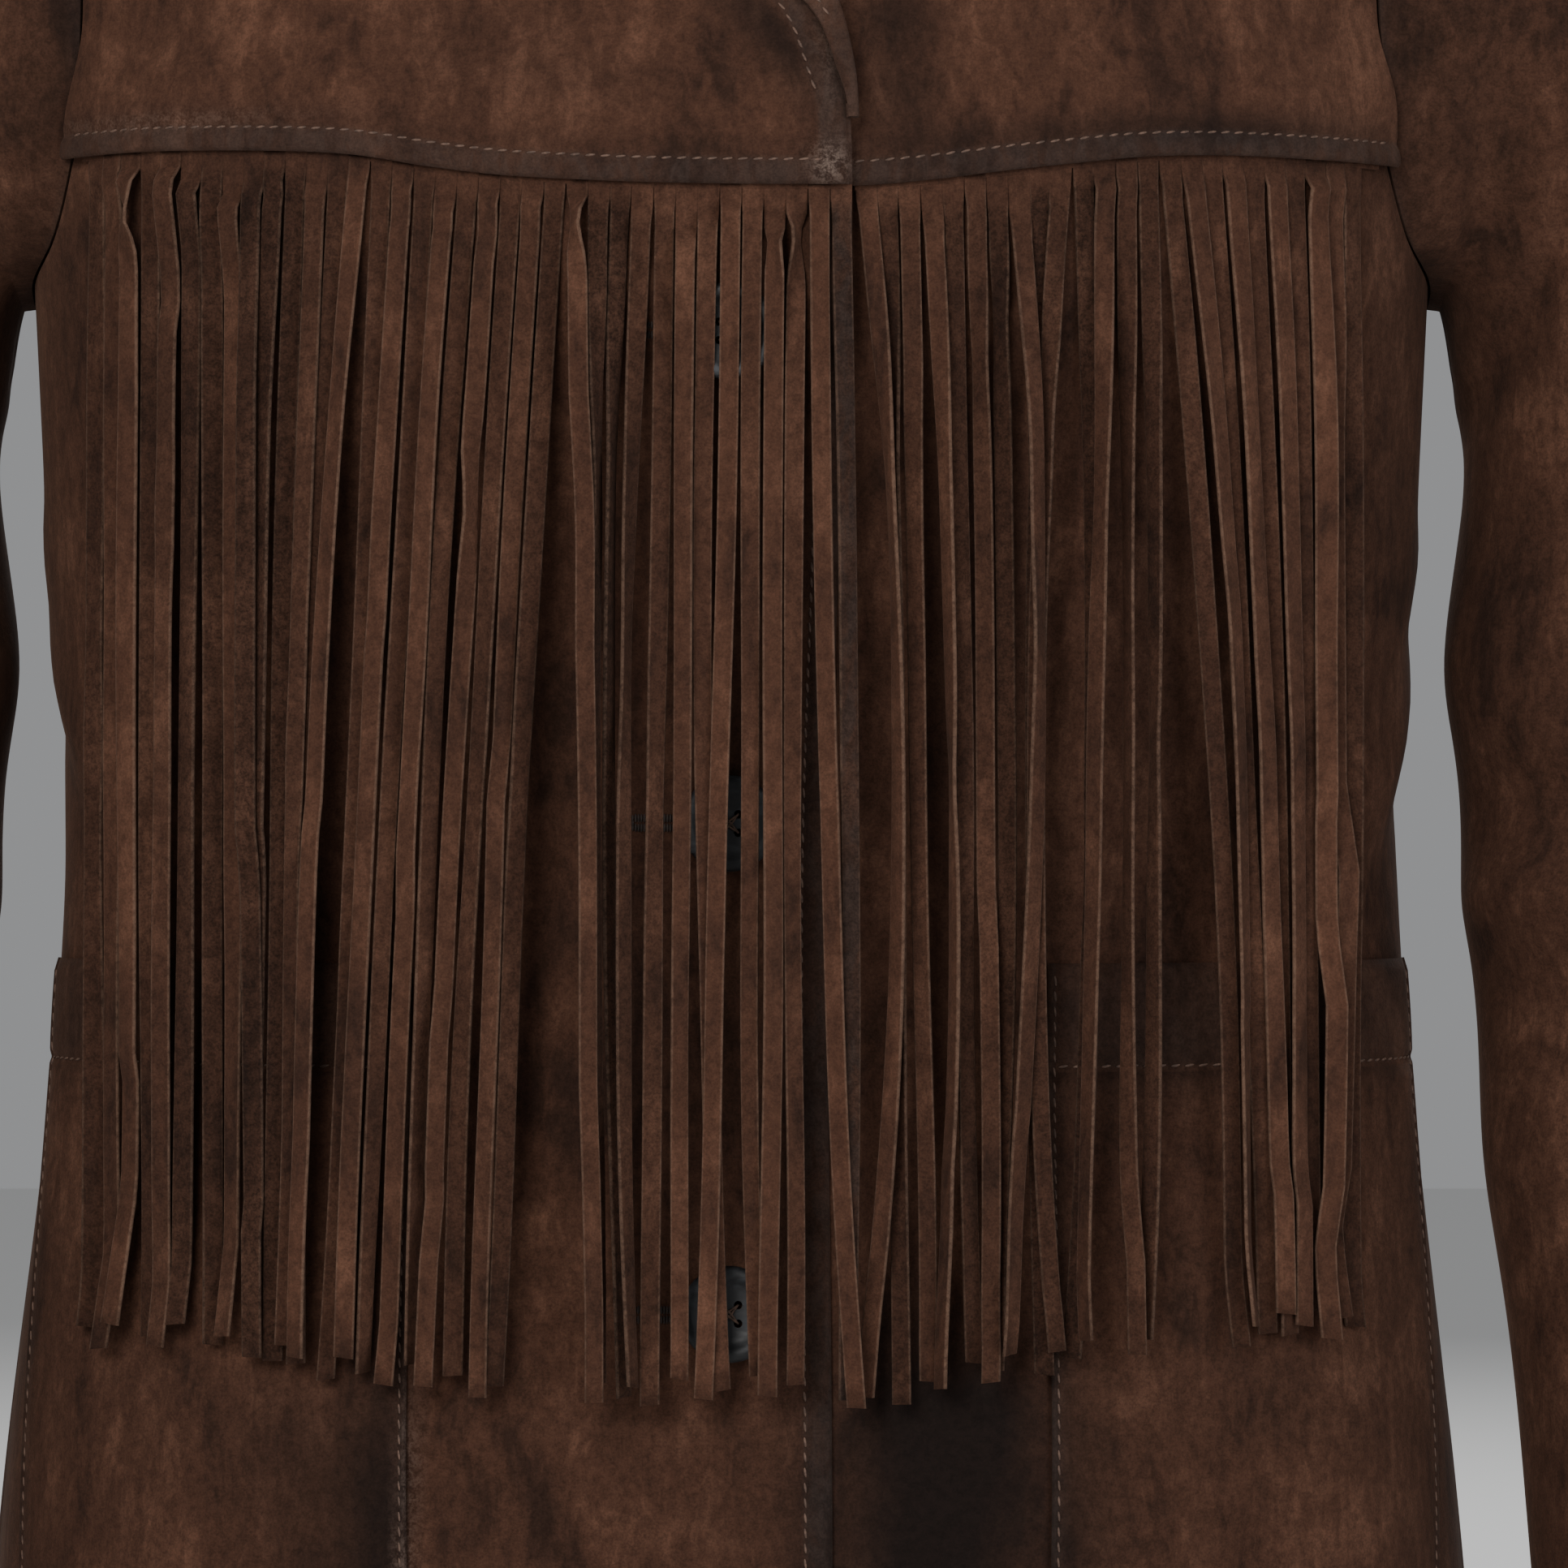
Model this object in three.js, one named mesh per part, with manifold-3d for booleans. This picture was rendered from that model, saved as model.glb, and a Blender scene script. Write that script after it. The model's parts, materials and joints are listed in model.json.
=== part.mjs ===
// A fringed suede jacket, hollow, in the shape it has when it is worn.
// Millimetres. +Z is up, the front faces -Y, +X is the viewer's right, and Z is 0 at the
// neck end of the shoulder seams. "Right" and "left" in names are the wearer's own, so the
// right front is on the viewer's left and buttons over the left one.
import * as THREE from 'three';
import Module from 'manifold-3d';

const wasm = await Module();
wasm.setup();

// Cloth, seams and layers
const SUEDE = 1.6;
const STRIP = 1.2;
const SEAM_GAP = 0.4;
const LAYER_GAP = 0.5;
const YOKE_GAP = 0.9;

// The main heights
const HEM_Z = -655;
const UNDERARM_Z = -240;
const YOKE_Z = -215;

// The body's flattened rings: half width, depth of the front and depth of the back
const BODY_RINGS = [
  { z: -655, half: 203, front: 124, back: 126 },
  { z: -560, half: 197, front: 120, back: 118 },
  { z: -400, half: 182, front: 108, back: 103 },
  { z: -300, half: 187, front: 116, back: 109 },
  { z: -215, half: 191, front: 124, back: 113 },
  { z: -120, half: 196, front: 112, back: 108 },
  { z: 0, half: 200, front: 82, back: 88 },
];
const SQUARENESS = 2.5;

// Shoulders: the seam falls away from the neck, and the cloth rounds over it
const NECK_HALF = 72;
const SHOULDER_HALF = 197;
const SHOULDER_FALL = 0.4;
const NECK_SOFTNESS = 16;
const SHOULDER_ROUND = 95;

// Soft folds of the body. Angles run from the front centre, 90 degrees at the left side,
// lean turns the fold by that many degrees over 100 mm of height, and depth is outward.
const BODY_FOLDS = [
  { angle: 100, z: -655, lean: 1.5, wide: 9, tall: 190, depth: 7 },
  { angle: 128, z: -655, lean: -2, wide: 8, tall: 150, depth: -5 },
  { angle: 163, z: -655, lean: 1, wide: 11, tall: 230, depth: 6 },
  { angle: 205, z: -655, lean: -1.5, wide: 9, tall: 170, depth: 5 },
  { angle: 236, z: -655, lean: 2, wide: 8, tall: 140, depth: -5 },
  { angle: 262, z: -655, lean: -1, wide: 9, tall: 210, depth: 7 },
  { angle: 74, z: -655, lean: 0.5, wide: 7, tall: 120, depth: -4 },
  { angle: -70, z: -655, lean: -0.5, wide: 8, tall: 140, depth: -4 },
  { angle: 116, z: -300, lean: 14, wide: 6, tall: 60, depth: 5 },
  { angle: 244, z: -310, lean: -12, wide: 6, tall: 65, depth: 5 },
  { angle: 150, z: -400, lean: 9, wide: 12, tall: 45, depth: -5 },
  { angle: 214, z: -415, lean: -8, wide: 12, tall: 50, depth: -5 },
];

// The front edges: the right front's lies on top, right of the centre, and the left's is under
const OVER_EDGE_TOP_X = 31.5;
const OVER_EDGE_HEM_X = 26.5;
const UNDER_EDGE_X = -26.7;

// The lower edge of each yoke, from the front edge outwards
const RIGHT_YOKE_EDGE = [
  { x: 31.5, z: -215.6 },
  { x: 0, z: -215.5 },
  { x: -34, z: -214.6 },
  { x: -58, z: -212.8 },
  { x: -78, z: -210 },
  { x: -98, z: -206.6 },
  { x: -122, z: -205 },
  { x: -150, z: -204 },
  { x: -172, z: -204 },
];
const LEFT_YOKE_EDGE = [
  { x: -26.7, z: -215.6 },
  { x: 8, z: -215.8 },
  { x: 34, z: -215.4 },
  { x: 54, z: -213.6 },
  { x: 72, z: -211.2 },
  { x: 90, z: -209 },
  { x: 108, z: -207 },
  { x: 130, z: -206 },
  { x: 150, z: -206 },
  { x: 172, z: -206 },
];
const FRONT_TUCK = 12;
const HEADER_TUCK = 7;

// The roll lines, where the fronts turn back as lapels, from the break up to the neck
const RIGHT_ROLL = [
  { x: 31.3, z: -204 },
  { x: 30, z: -186 },
  { x: 25, z: -166 },
  { x: 6, z: -130 },
  { x: -24, z: -84 },
  { x: -55, z: -36 },
  { x: -74, z: -6 },
];
const LEFT_ROLL = [
  { x: -26.7, z: -196 },
  { x: -6, z: -182 },
  { x: 14, z: -160 },
  { x: 30, z: -130 },
  { x: 46, z: -90 },
  { x: 61, z: -44 },
  { x: 74, z: -6 },
];

// The armhole, from the shoulder seam to the underarm, for the front and for the back
const FRONT_ARMHOLE = [
  { x: 197, z: -53 },
  { x: 187, z: -80 },
  { x: 177, z: -110 },
  { x: 171, z: -145 },
  { x: 172, z: -180 },
  { x: 175, z: -204 },
  { x: 182, z: -226 },
];
const BACK_ARMHOLE = [
  { x: 197, z: -53 },
  { x: 189, z: -80 },
  { x: 181, z: -115 },
  { x: 177, z: -150 },
  { x: 178, z: -190 },
  { x: 184, z: -224 },
];

const BACK_NECK_DROP = 21;

// Colours and finish
const suede = (name, color) => {
  const material = new THREE.MeshStandardMaterial({ color, roughness: 0.95, metalness: 0 });
  material.name = name;
  return material;
};
const BODY_SUEDE = suede('suede', 0x4f372b);
const STRIP_SUEDE = suede('suede_strips', 0x5a3e31);
const HORN = new THREE.MeshStandardMaterial({ color: 0x35332f, roughness: 0.35, metalness: 0 });

const radians = THREE.MathUtils.degToRad;
const clamp = THREE.MathUtils.clamp;
const step = THREE.MathUtils.smoothstep;

// The smooth value of one column of a table, whose rows are sorted by another column
function smooth(rows, along, column, at) {
  const last = rows.length - 1;
  const here = clamp(at, rows[0][along], rows[last][along]);
  let i = 0;
  while (i < last - 1 && here > rows[i + 1][along]) {
    i += 1;
  }
  const slope = (j) => {
    const before = rows[Math.max(j - 1, 0)];
    const after = rows[Math.min(j + 1, last)];
    return (after[column] - before[column]) / (after[along] - before[along]);
  };
  const span = rows[i + 1][along] - rows[i][along];
  const t = (here - rows[i][along]) / span;
  const rise = t * t * (3 - 2 * t);
  const leave = span * slope(i) * t * (1 - t) * (1 - t);
  const arrive = span * slope(i + 1) * t * t * (t - 1);
  return rows[i][column] * (1 - rise) + rows[i + 1][column] * rise + leave + arrive;
}

const shoulderSeamZ = (x) => {
  const past = Math.abs(x) - NECK_HALF;
  return -SHOULDER_FALL * 0.5 * (past + Math.hypot(past, NECK_SOFTNESS));
};

// A point of the body's ring at a height, by its angle from the front centre
function ringPoint(angle, z) {
  const half = smooth(BODY_RINGS, 'z', 'half', z);
  const depth = smooth(BODY_RINGS, 'z', Math.cos(angle) > 0 ? 'front' : 'back', z);
  const across = Math.abs(Math.sin(angle)) / half;
  const away = Math.abs(Math.cos(angle)) / depth;
  const radius = (across ** SQUARENESS + away ** SQUARENESS) ** (-1 / SQUARENESS);
  return { x: radius * Math.sin(angle), y: -radius * Math.cos(angle) };
}

// A point of the garment's face by angle and rise. Rise is the height z up to where the
// cloth starts to round over the shoulder, and the length along the cloth above that.
function facePoint(angle, rise) {
  let z = Math.min(rise, 0);
  let y = 0;
  let x = 0;
  for (let pass = 0; pass < 6; pass += 1) {
    const ring = ringPoint(angle, z);
    const roundFrom = shoulderSeamZ(ring.x) - SHOULDER_ROUND;
    const turn = Math.max(rise - roundFrom, 0) / SHOULDER_ROUND;
    x = ring.x;
    y = ring.y * Math.cos(turn);
    z = Math.min(rise, roundFrom) + SHOULDER_ROUND * Math.sin(turn);
  }
  return new THREE.Vector3(x, y, z);
}

function faceNormal(angle, rise) {
  const across = facePoint(angle + 0.01, rise).sub(facePoint(angle - 0.01, rise));
  const up = facePoint(angle, rise + 1).sub(facePoint(angle, rise - 1));
  return across.cross(up).normalize();
}

// How far the soft folds push the cloth out at a place
function foldDepth(angle, rise) {
  let depth = 0;
  for (const fold of BODY_FOLDS) {
    const above = rise - fold.z;
    let off = THREE.MathUtils.radToDeg(angle) - fold.angle - (fold.lean * above) / 100;
    off = ((off + 540) % 360) - 180;
    depth += fold.depth * Math.exp(-((off / fold.wide) ** 2) - (above / fold.tall) ** 2);
  }
  return depth;
}

// A place on the garment's face, moved out along its normal
function onBody(place, out) {
  const normal = faceNormal(place.angle, place.rise);
  const push = out + foldDepth(place.angle, place.rise);
  return facePoint(place.angle, place.rise).addScaledVector(normal, push);
}

// The place on the front (or the back) whose x and z are given
function placeAt(x, z, back = false) {
  const half = smooth(BODY_RINGS, 'z', 'half', z);
  const depth = smooth(BODY_RINGS, 'z', back ? 'back' : 'front', z);
  const share = Math.max(1 - (Math.abs(x) / half) ** SQUARENESS, 0);
  const away = depth * share ** (1 / SQUARENESS);
  const seam = shoulderSeamZ(x);
  const turn = Math.asin(clamp(1 - (seam - z) / SHOULDER_ROUND, 0, 1));
  const rise = turn > 0 ? seam - SHOULDER_ROUND + turn * SHOULDER_ROUND : z;
  let angle = Math.atan2(x, back ? -away : away);
  if (back && angle < 0) {
    angle += 2 * Math.PI;
  }
  return { angle, rise };
}

const seamPlace = (x, back) => {
  const place = placeAt(x, shoulderSeamZ(x), back);
  return { angle: place.angle, rise: place.rise - SEAM_GAP / 2 };
};

// The shoulder seam from the neck to the armhole
const shoulderSeam = (side, back) => (t) => (
  seamPlace(side * (NECK_HALF + 2 + (SHOULDER_HALF - NECK_HALF - 2) * t), back)
);

const mix = (a, b, t) => ({
  angle: a.angle + (b.angle - a.angle) * t,
  rise: a.rise + (b.rise - a.rise) * t,
});

// A smooth route through places, by the share of its length
function route(places) {
  const points = places.map((p) => new THREE.Vector3(p.angle * 150, p.rise, 0));
  const curve = new THREE.CatmullRomCurve3(points, false, 'centripetal');
  return (t) => {
    const point = curve.getPointAt(clamp(t, 0, 1));
    return { angle: point.x / 150, rise: point.y };
  };
}

// Several routes end to end, each with its share of the whole
function join(routes, shares) {
  return (t) => {
    let start = 0;
    for (let i = 0; i < routes.length; i += 1) {
      if (t <= start + shares[i] + 1e-9 || i === routes.length - 1) {
        return routes[i]((t - start) / shares[i]);
      }
      start += shares[i];
    }
    return routes[0](0);
  };
}

const reversed = (line) => (t) => line(1 - t);

// A place inside four boundary routes, blended from all four
function inside(edges, u, v) {
  const low = edges.bottom(u);
  const high = edges.top(u);
  const near = edges.start(v);
  const far = edges.end(v);
  const corner = mix(mix(edges.bottom(0), edges.bottom(1), u), mix(edges.top(0), edges.top(1), u), v);
  const between = mix(low, high, v);
  const across = mix(near, far, u);
  return {
    angle: between.angle + across.angle - corner.angle,
    rise: between.rise + across.rise - corner.rise,
  };
}

// A closed wall between an outer and an inner grid of points. A ring's columns close on
// themselves, and a sheet has four cut edges. Each quad is split along its shorter diagonal.
function wall(outer, inner, ring = false) {
  const rows = outer.length;
  const cols = outer[0].length;
  const points = [...outer.flat(), ...inner.flat()];
  const index = [];
  const outerAt = (r, c) => r * cols + (c % cols);
  const innerAt = (r, c) => rows * cols + outerAt(r, c);
  const quad = (a, b, c, d) => {
    if (points[a].distanceTo(points[c]) < points[b].distanceTo(points[d])) {
      index.push(a, b, c, a, c, d);
    } else {
      index.push(a, b, d, b, c, d);
    }
  };
  const lastCol = ring ? cols : cols - 1;
  for (let r = 0; r < rows - 1; r += 1) {
    for (let c = 0; c < lastCol; c += 1) {
      quad(outerAt(r, c), outerAt(r, c + 1), outerAt(r + 1, c + 1), outerAt(r + 1, c));
      quad(innerAt(r, c), innerAt(r + 1, c), innerAt(r + 1, c + 1), innerAt(r, c + 1));
    }
  }
  const top = rows - 1;
  for (let c = 0; c < lastCol; c += 1) {
    quad(innerAt(0, c), innerAt(0, c + 1), outerAt(0, c + 1), outerAt(0, c));
    quad(outerAt(top, c), outerAt(top, c + 1), innerAt(top, c + 1), innerAt(top, c));
  }
  const far = cols - 1;
  for (let r = 0; r < rows - 1 && !ring; r += 1) {
    quad(outerAt(r, 0), outerAt(r + 1, 0), innerAt(r + 1, 0), innerAt(r, 0));
    quad(innerAt(r, far), innerAt(r + 1, far), outerAt(r + 1, far), outerAt(r, far));
  }
  const positions = points.flatMap((p) => [p.x, p.y, p.z]);
  const geometry = new THREE.BufferGeometry();
  geometry.setAttribute('position', new THREE.Float32BufferAttribute(positions, 3));
  geometry.setIndex(index);
  return facingOut(geometry);
}

// Turns every face over when the solid's volume comes out negative
function facingOut(geometry) {
  const index = geometry.index.array;
  const at = geometry.attributes.position;
  const point = (i) => new THREE.Vector3().fromBufferAttribute(at, i);
  let volume = 0;
  for (let i = 0; i < index.length; i += 3) {
    volume += point(index[i]).dot(point(index[i + 1]).cross(point(index[i + 2])));
  }
  if (volume < 0) {
    for (let i = 0; i < index.length; i += 3) {
      [index[i], index[i + 1]] = [index[i + 1], index[i]];
    }
  }
  geometry.computeVertexNormals();
  return geometry;
}

const steps = (count) => Array.from({ length: count + 1 }, (_, i) => i / count);

// A panel of the garment: the cloth between four routes, its face `out` from the body's
function panel(edges, cols, rows, out, thick = SUEDE) {
  const grid = (depth) => rows.map((v) => steps(cols).map((u) => {
    const place = inside(edges, u, v);
    return onBody(place, out(place) - depth);
  }));
  return wall(grid(0), grid(thick));
}

const jacket = new THREE.Group();

function add(name, geometry, material) {
  const mesh = new THREE.Mesh(geometry, material);
  mesh.name = name;
  jacket.add(mesh);
}

// Layers at the yoke's edge: the front, the strip that carries the fringe, then the yoke
const HEADER_OUT = LAYER_GAP + STRIP;
const YOKE_OUT = HEADER_OUT + YOKE_GAP + SUEDE;

// How far the over front stands off the under one, beside the front edge
const OVERLAP_OUT = LAYER_GAP + SUEDE;
const CROSSING_OUT = YOKE_OUT;
function overlapOut(place) {
  const { x } = facePoint(place.angle, place.rise);
  const near = step(x, -78, -30);
  const fromSeam = Math.abs(place.rise - (YOKE_Z + 6));
  const crossing = 1 - step(fromSeam, 30, 80);
  return near * (OVERLAP_OUT + crossing * CROSSING_OUT);
}

// The yoke's cloth lies over the strip at its lower edge and settles above it
const settled = (place) => {
  const above = place.rise - YOKE_Z;
  return YOKE_OUT * (1 - step(above, 22, 48));
};

const overYoke = (place) => settled(place) + overlapOut(place);

const edgePlaces = (rows) => rows.map((row) => placeAt(row.x, row.z));
const raised = (rows, by) => rows.map((row) => ({ x: row.x, z: row.z + by }));
const mirrored = (rows) => rows.map((row) => ({ x: -row.x, z: row.z }));

const UNDERARM = { angle: Math.PI / 2, rise: UNDERARM_Z };
const SIDE_GAP_ANGLE = 0.2 / 190;

// Boundary routes of the fronts. `side` is -1 for the wearer's right and 1 for the left.
const armholeRows = side => (side < 0 ? mirrored(FRONT_ARMHOLE) : FRONT_ARMHOLE);

function armholeBelow(side, fromZ) {
  const rows = armholeRows(side).filter((row) => row.z < fromZ - 4);
  const start = armholeAt(side, fromZ);
  return route([start, ...edgePlaces(rows), underarm(side)]);
}

function armholeAbove(side, fromZ) {
  const rows = armholeRows(side).filter((row) => row.z > fromZ + 4).reverse();
  const high = rows.slice(0, -1);
  return route([armholeAt(side, fromZ), ...edgePlaces(high), seamPlace(side * SHOULDER_HALF, false)]);
}

const underarm = (side) => ({
  angle: side * (UNDERARM.angle - SIDE_GAP_ANGLE),
  rise: UNDERARM.rise,
});

// The armhole's place at a height
function armholeAt(side, z) {
  const rows = [...FRONT_ARMHOLE].reverse();
  return placeAt(side * smooth(rows, 'z', 'x', z), z);
}

const PANEL_COLS = 14;
const YOKE_ROWS = 10;
const FRONT_ROWS = { below: 10, beside: 3 };
const BACK_ROWS = { below: 11, beside: 8 };
const BACK_COLS = 20;

const straight = (from, to) => (t) => mix(from, to, t);

// A side's route up the seam and on up the armhole, with each stretch's share of the rows
function climb(low, high, rows) {
  const all = rows.below + rows.beside;
  return join([low, high], [rows.below / all, rows.beside / all]);
}

function frontEdges(side) {
  const over = side < 0;
  const line = over ? RIGHT_YOKE_EDGE : LEFT_YOKE_EDGE;
  const tuckedZ = line[line.length - 1].z + FRONT_TUCK;
  const body = raised(line, FRONT_TUCK).slice(0, -1);
  const top = route([...edgePlaces(body), armholeAt(side, tuckedZ)]);
  const edgeX = over ? OVER_EDGE_TOP_X : UNDER_EDGE_X;
  const hemStart = placeAt(over ? OVER_EDGE_HEM_X : UNDER_EDGE_X, HEM_Z);
  const edgeStart = placeAt(edgeX, UNDERARM_Z);
  const hemEnd = { angle: underarm(side).angle, rise: HEM_Z };
  return {
    bottom: straight(hemStart, hemEnd),
    top,
    start: climb(straight(hemStart, edgeStart), straight(edgeStart, top(0)), FRONT_ROWS),
    end: climb(straight(hemEnd, underarm(side)), reversed(armholeBelow(side, tuckedZ)), FRONT_ROWS),
  };
}

function yokeEdges(side) {
  const over = side < 0;
  const line = over ? RIGHT_YOKE_EDGE : LEFT_YOKE_EDGE;
  const roll = over ? RIGHT_ROLL : LEFT_ROLL;
  const endZ = line[line.length - 1].z;
  const bottom = route([...edgePlaces(line.slice(0, -1)), armholeAt(side, endZ)]);
  const shoulder = shoulderSeam(side, false);
  return {
    bottom,
    top: shoulder,
    start: route([bottom(0), ...edgePlaces(roll.slice(0, -1)), shoulder(0)]),
    end: armholeAbove(side, endZ),
  };
}

const backSide = (side) => {
  const angle = side > 0 ? Math.PI / 2 + SIDE_GAP_ANGLE : 1.5 * Math.PI - SIDE_GAP_ANGLE;
  return straight({ angle, rise: HEM_Z }, { angle, rise: UNDERARM_Z });
};

function backArmhole(side) {
  const rows = (side < 0 ? mirrored(BACK_ARMHOLE) : BACK_ARMHOLE).slice(1).reverse();
  const places = rows.map((row) => placeAt(row.x, row.z, true));
  return route([backSide(side)(1), ...places, shoulderSeam(side, true)(1)]);
}

// Points across the back of the neck, and the shares of the back's top edge that are the
// left shoulder, the neck and the right shoulder
const BACK_NECK_XS = [62, 36, 0, -36, -62];
const BACK_TOP_SHARES = [0.35, 0.3, 0.35];

function backEdges() {
  const neckPlaces = BACK_NECK_XS.map((x) => {
    const drop = BACK_NECK_DROP * (1 - (Math.abs(x) / NECK_HALF) ** 3);
    return placeAt(x, shoulderSeamZ(x) - drop, true);
  });
  const neck = route([shoulderSeam(1, true)(0), ...neckPlaces, shoulderSeam(-1, true)(0)]);
  return {
    bottom: straight(backSide(1)(0), backSide(-1)(0)),
    top: join([reversed(shoulderSeam(1, true)), neck, shoulderSeam(-1, true)], BACK_TOP_SHARES),
    start: climb(backSide(1), backArmhole(1), BACK_ROWS),
    end: climb(backSide(-1), backArmhole(-1), BACK_ROWS),
  };
}

const flat = () => 0;
const rowsOf = (rows) => steps(rows.below + rows.beside);
add('front_right', panel(frontEdges(-1), PANEL_COLS, rowsOf(FRONT_ROWS), overlapOut), BODY_SUEDE);
add('front_left', panel(frontEdges(1), PANEL_COLS, rowsOf(FRONT_ROWS), flat), BODY_SUEDE);
add('yoke_right', panel(yokeEdges(-1), PANEL_COLS, steps(YOKE_ROWS), overYoke), BODY_SUEDE);
add('yoke_left', panel(yokeEdges(1), PANEL_COLS, steps(YOKE_ROWS), settled), BODY_SUEDE);
add('back', panel(backEdges(), BACK_COLS, rowsOf(BACK_ROWS), flat), BODY_SUEDE);

// Sleeves. Each ring runs from the underarm side, across to the outer side, `deep` is half
// its front to back size, and `forward` carries it towards the front as the arm bends.
const SLEEVE_RINGS = [
  { innerX: 194, innerZ: -242, outerX: 214, outerZ: -55, deep: 63, forward: 0 },
  { innerX: 195, innerZ: -245, outerX: 237, outerZ: -67, deep: 65, forward: 0 },
  { innerX: 196, innerZ: -249, outerX: 257, outerZ: -92, deep: 65, forward: 0 },
  { innerX: 197, innerZ: -255, outerX: 272, outerZ: -128, deep: 64, forward: 0 },
  { innerX: 198, innerZ: -263, outerX: 283, outerZ: -172, deep: 63, forward: 0 },
  { innerX: 198, innerZ: -276, outerX: 290, outerZ: -222, deep: 61, forward: 0 },
  { innerX: 198, innerZ: -300, outerX: 294, outerZ: -272, deep: 59, forward: 1 },
  { innerX: 198, innerZ: -335, outerX: 295, outerZ: -318, deep: 57, forward: 3 },
  { innerX: 199, innerZ: -368, outerX: 296, outerZ: -357, deep: 55, forward: 5 },
  { innerX: 200, innerZ: -394, outerX: 297, outerZ: -388, deep: 54, forward: 8 },
  { innerX: 202, innerZ: -420, outerX: 298, outerZ: -416, deep: 53, forward: 12 },
  { innerX: 205, innerZ: -455, outerX: 298, outerZ: -450, deep: 50, forward: 17 },
  { innerX: 209, innerZ: -497, outerX: 297, outerZ: -492, deep: 48, forward: 23 },
  { innerX: 213, innerZ: -540, outerX: 296, outerZ: -536, deep: 46, forward: 29 },
  { innerX: 216, innerZ: -580, outerX: 296, outerZ: -577, deep: 44, forward: 34 },
  { innerX: 218, innerZ: -606, outerX: 296, outerZ: -604, deep: 43, forward: 37 },
  { innerX: 219, innerZ: -622, outerX: 296, outerZ: -620, deep: 42.5, forward: 39 },
];

// Creases of a sleeve: `ring` down it, `around` in degrees from the underarm side over the
// front, `slant` in degrees a ring, `wide` in degrees, `tall` in rings, depth outward
const SLEEVE_FOLDS = [
  { ring: 8.4, around: 62, slant: 14, wide: 34, tall: 0.6, depth: -5 },
  { ring: 9.3, around: 44, slant: -12, wide: 40, tall: 0.55, depth: 4.5 },
  { ring: 10.3, around: 58, slant: 10, wide: 36, tall: 0.6, depth: -5.5 },
  { ring: 11.4, around: 30, slant: -10, wide: 44, tall: 0.7, depth: 3.5 },
  { ring: 7.2, around: 20, slant: 16, wide: 40, tall: 0.7, depth: 4 },
  { ring: 5.2, around: 330, slant: 22, wide: 30, tall: 0.9, depth: -4 },
  { ring: 4.2, around: 40, slant: -24, wide: 28, tall: 1.1, depth: -4 },
  { ring: 13.2, around: 150, slant: 12, wide: 50, tall: 0.8, depth: -2.5 },
  { ring: 12.2, around: 250, slant: -14, wide: 46, tall: 0.8, depth: 3 },
  { ring: 9.6, around: 205, slant: 8, wide: 40, tall: 0.9, depth: 2.5 },
];
const SLEEVE_COLS = 20;
const SLEEVE_START = 1.9;

function sleeveFold(ring, around) {
  let depth = 0;
  for (const fold of SLEEVE_FOLDS) {
    const down = (ring - fold.ring) / fold.tall;
    let off = around - fold.around - fold.slant * (ring - fold.ring);
    off = ((off + 900) % 360) - 180;
    depth += fold.depth * Math.exp(-(down ** 2) - (off / fold.wide) ** 2);
  }
  return depth;
}

// The armhole as one loop: from the underarm up the front to the shoulder and down the back
function armholeLoop(side) {
  const front = route([
    underarm(side),
    ...[...armholeRows(side)].slice(1).reverse().map((row) => placeAt(row.x, row.z)),
    shoulderSeam(side, false)(1),
  ]);
  const back = reversed(backArmhole(side));
  return { front, back };
}

// How far the first rings have gone over from the armhole's outline to the sleeve's own
const CAP_BLEND = [0.3, 0.65, 0.9];

function sleeve(side) {
  const { front, back } = armholeLoop(side);
  const loopPoint = (around, depth) => {
    const t = around / 360;
    const place = t <= 0.5 ? front(t * 2) : back(t * 2 - 1);
    const point = onBody(place, -depth);
    point.x += side * SLEEVE_START;
    return point;
  };
  const ringAt = (ring, around, depth) => {
    const row = SLEEVE_RINGS[ring];
    const turn = radians(around);
    const wide = Math.hypot(row.outerX - row.innerX, row.outerZ - row.innerZ) / 2;
    const unit = new THREE.Vector3(row.outerX - row.innerX, 0, row.outerZ - row.innerZ).normalize();
    const push = (ring > 1 ? sleeveFold(ring, around) : 0) - depth;
    const center = new THREE.Vector3(
      (row.innerX + row.outerX) / 2,
      -row.forward,
      (row.innerZ + row.outerZ) / 2,
    );
    center.addScaledVector(unit, -Math.cos(turn) * (wide + push));
    center.y -= Math.sin(turn) * (row.deep + push);
    center.x *= side;
    return center;
  };
  const grid = (depth) => {
    const rings = [[]];
    for (let c = 0; c < SLEEVE_COLS; c += 1) {
      rings[0].push(loopPoint((360 * c) / SLEEVE_COLS, depth));
    }
    SLEEVE_RINGS.forEach((row, ring) => {
      rings.push(rings[0].map((start, c) => {
        const around = (360 * c) / SLEEVE_COLS;
        const end = ringAt(ring, around, depth);
        if (ring >= CAP_BLEND.length) {
          return end;
        }
        const moved = start.clone();
        moved.x = end.x;
        return moved.lerp(end, CAP_BLEND[ring]);
      }));
    });
    return rings;
  };
  return wall(grid(0), grid(SUEDE), true);
}

add('sleeve_right', sleeve(-1), BODY_SUEDE);
add('sleeve_left', sleeve(1), BODY_SUEDE);

// A wall of even thickness about a middle grid of points
function wallAbout(grid, thick) {
  const rows = grid.length;
  const cols = grid[0].length;
  const normalAt = (r, c) => {
    const up = grid[Math.min(r + 1, rows - 1)][c].clone().sub(grid[Math.max(r - 1, 0)][c]);
    const across = grid[r][Math.min(c + 1, cols - 1)].clone().sub(grid[r][Math.max(c - 1, 0)]);
    return across.cross(up).normalize();
  };
  const shifted = (by) => grid.map((row, r) => row.map((point, c) => (
    point.clone().addScaledVector(normalAt(r, c), by)
  )));
  return wall(shifted(thick / 2), shifted(-thick / 2));
}

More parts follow.
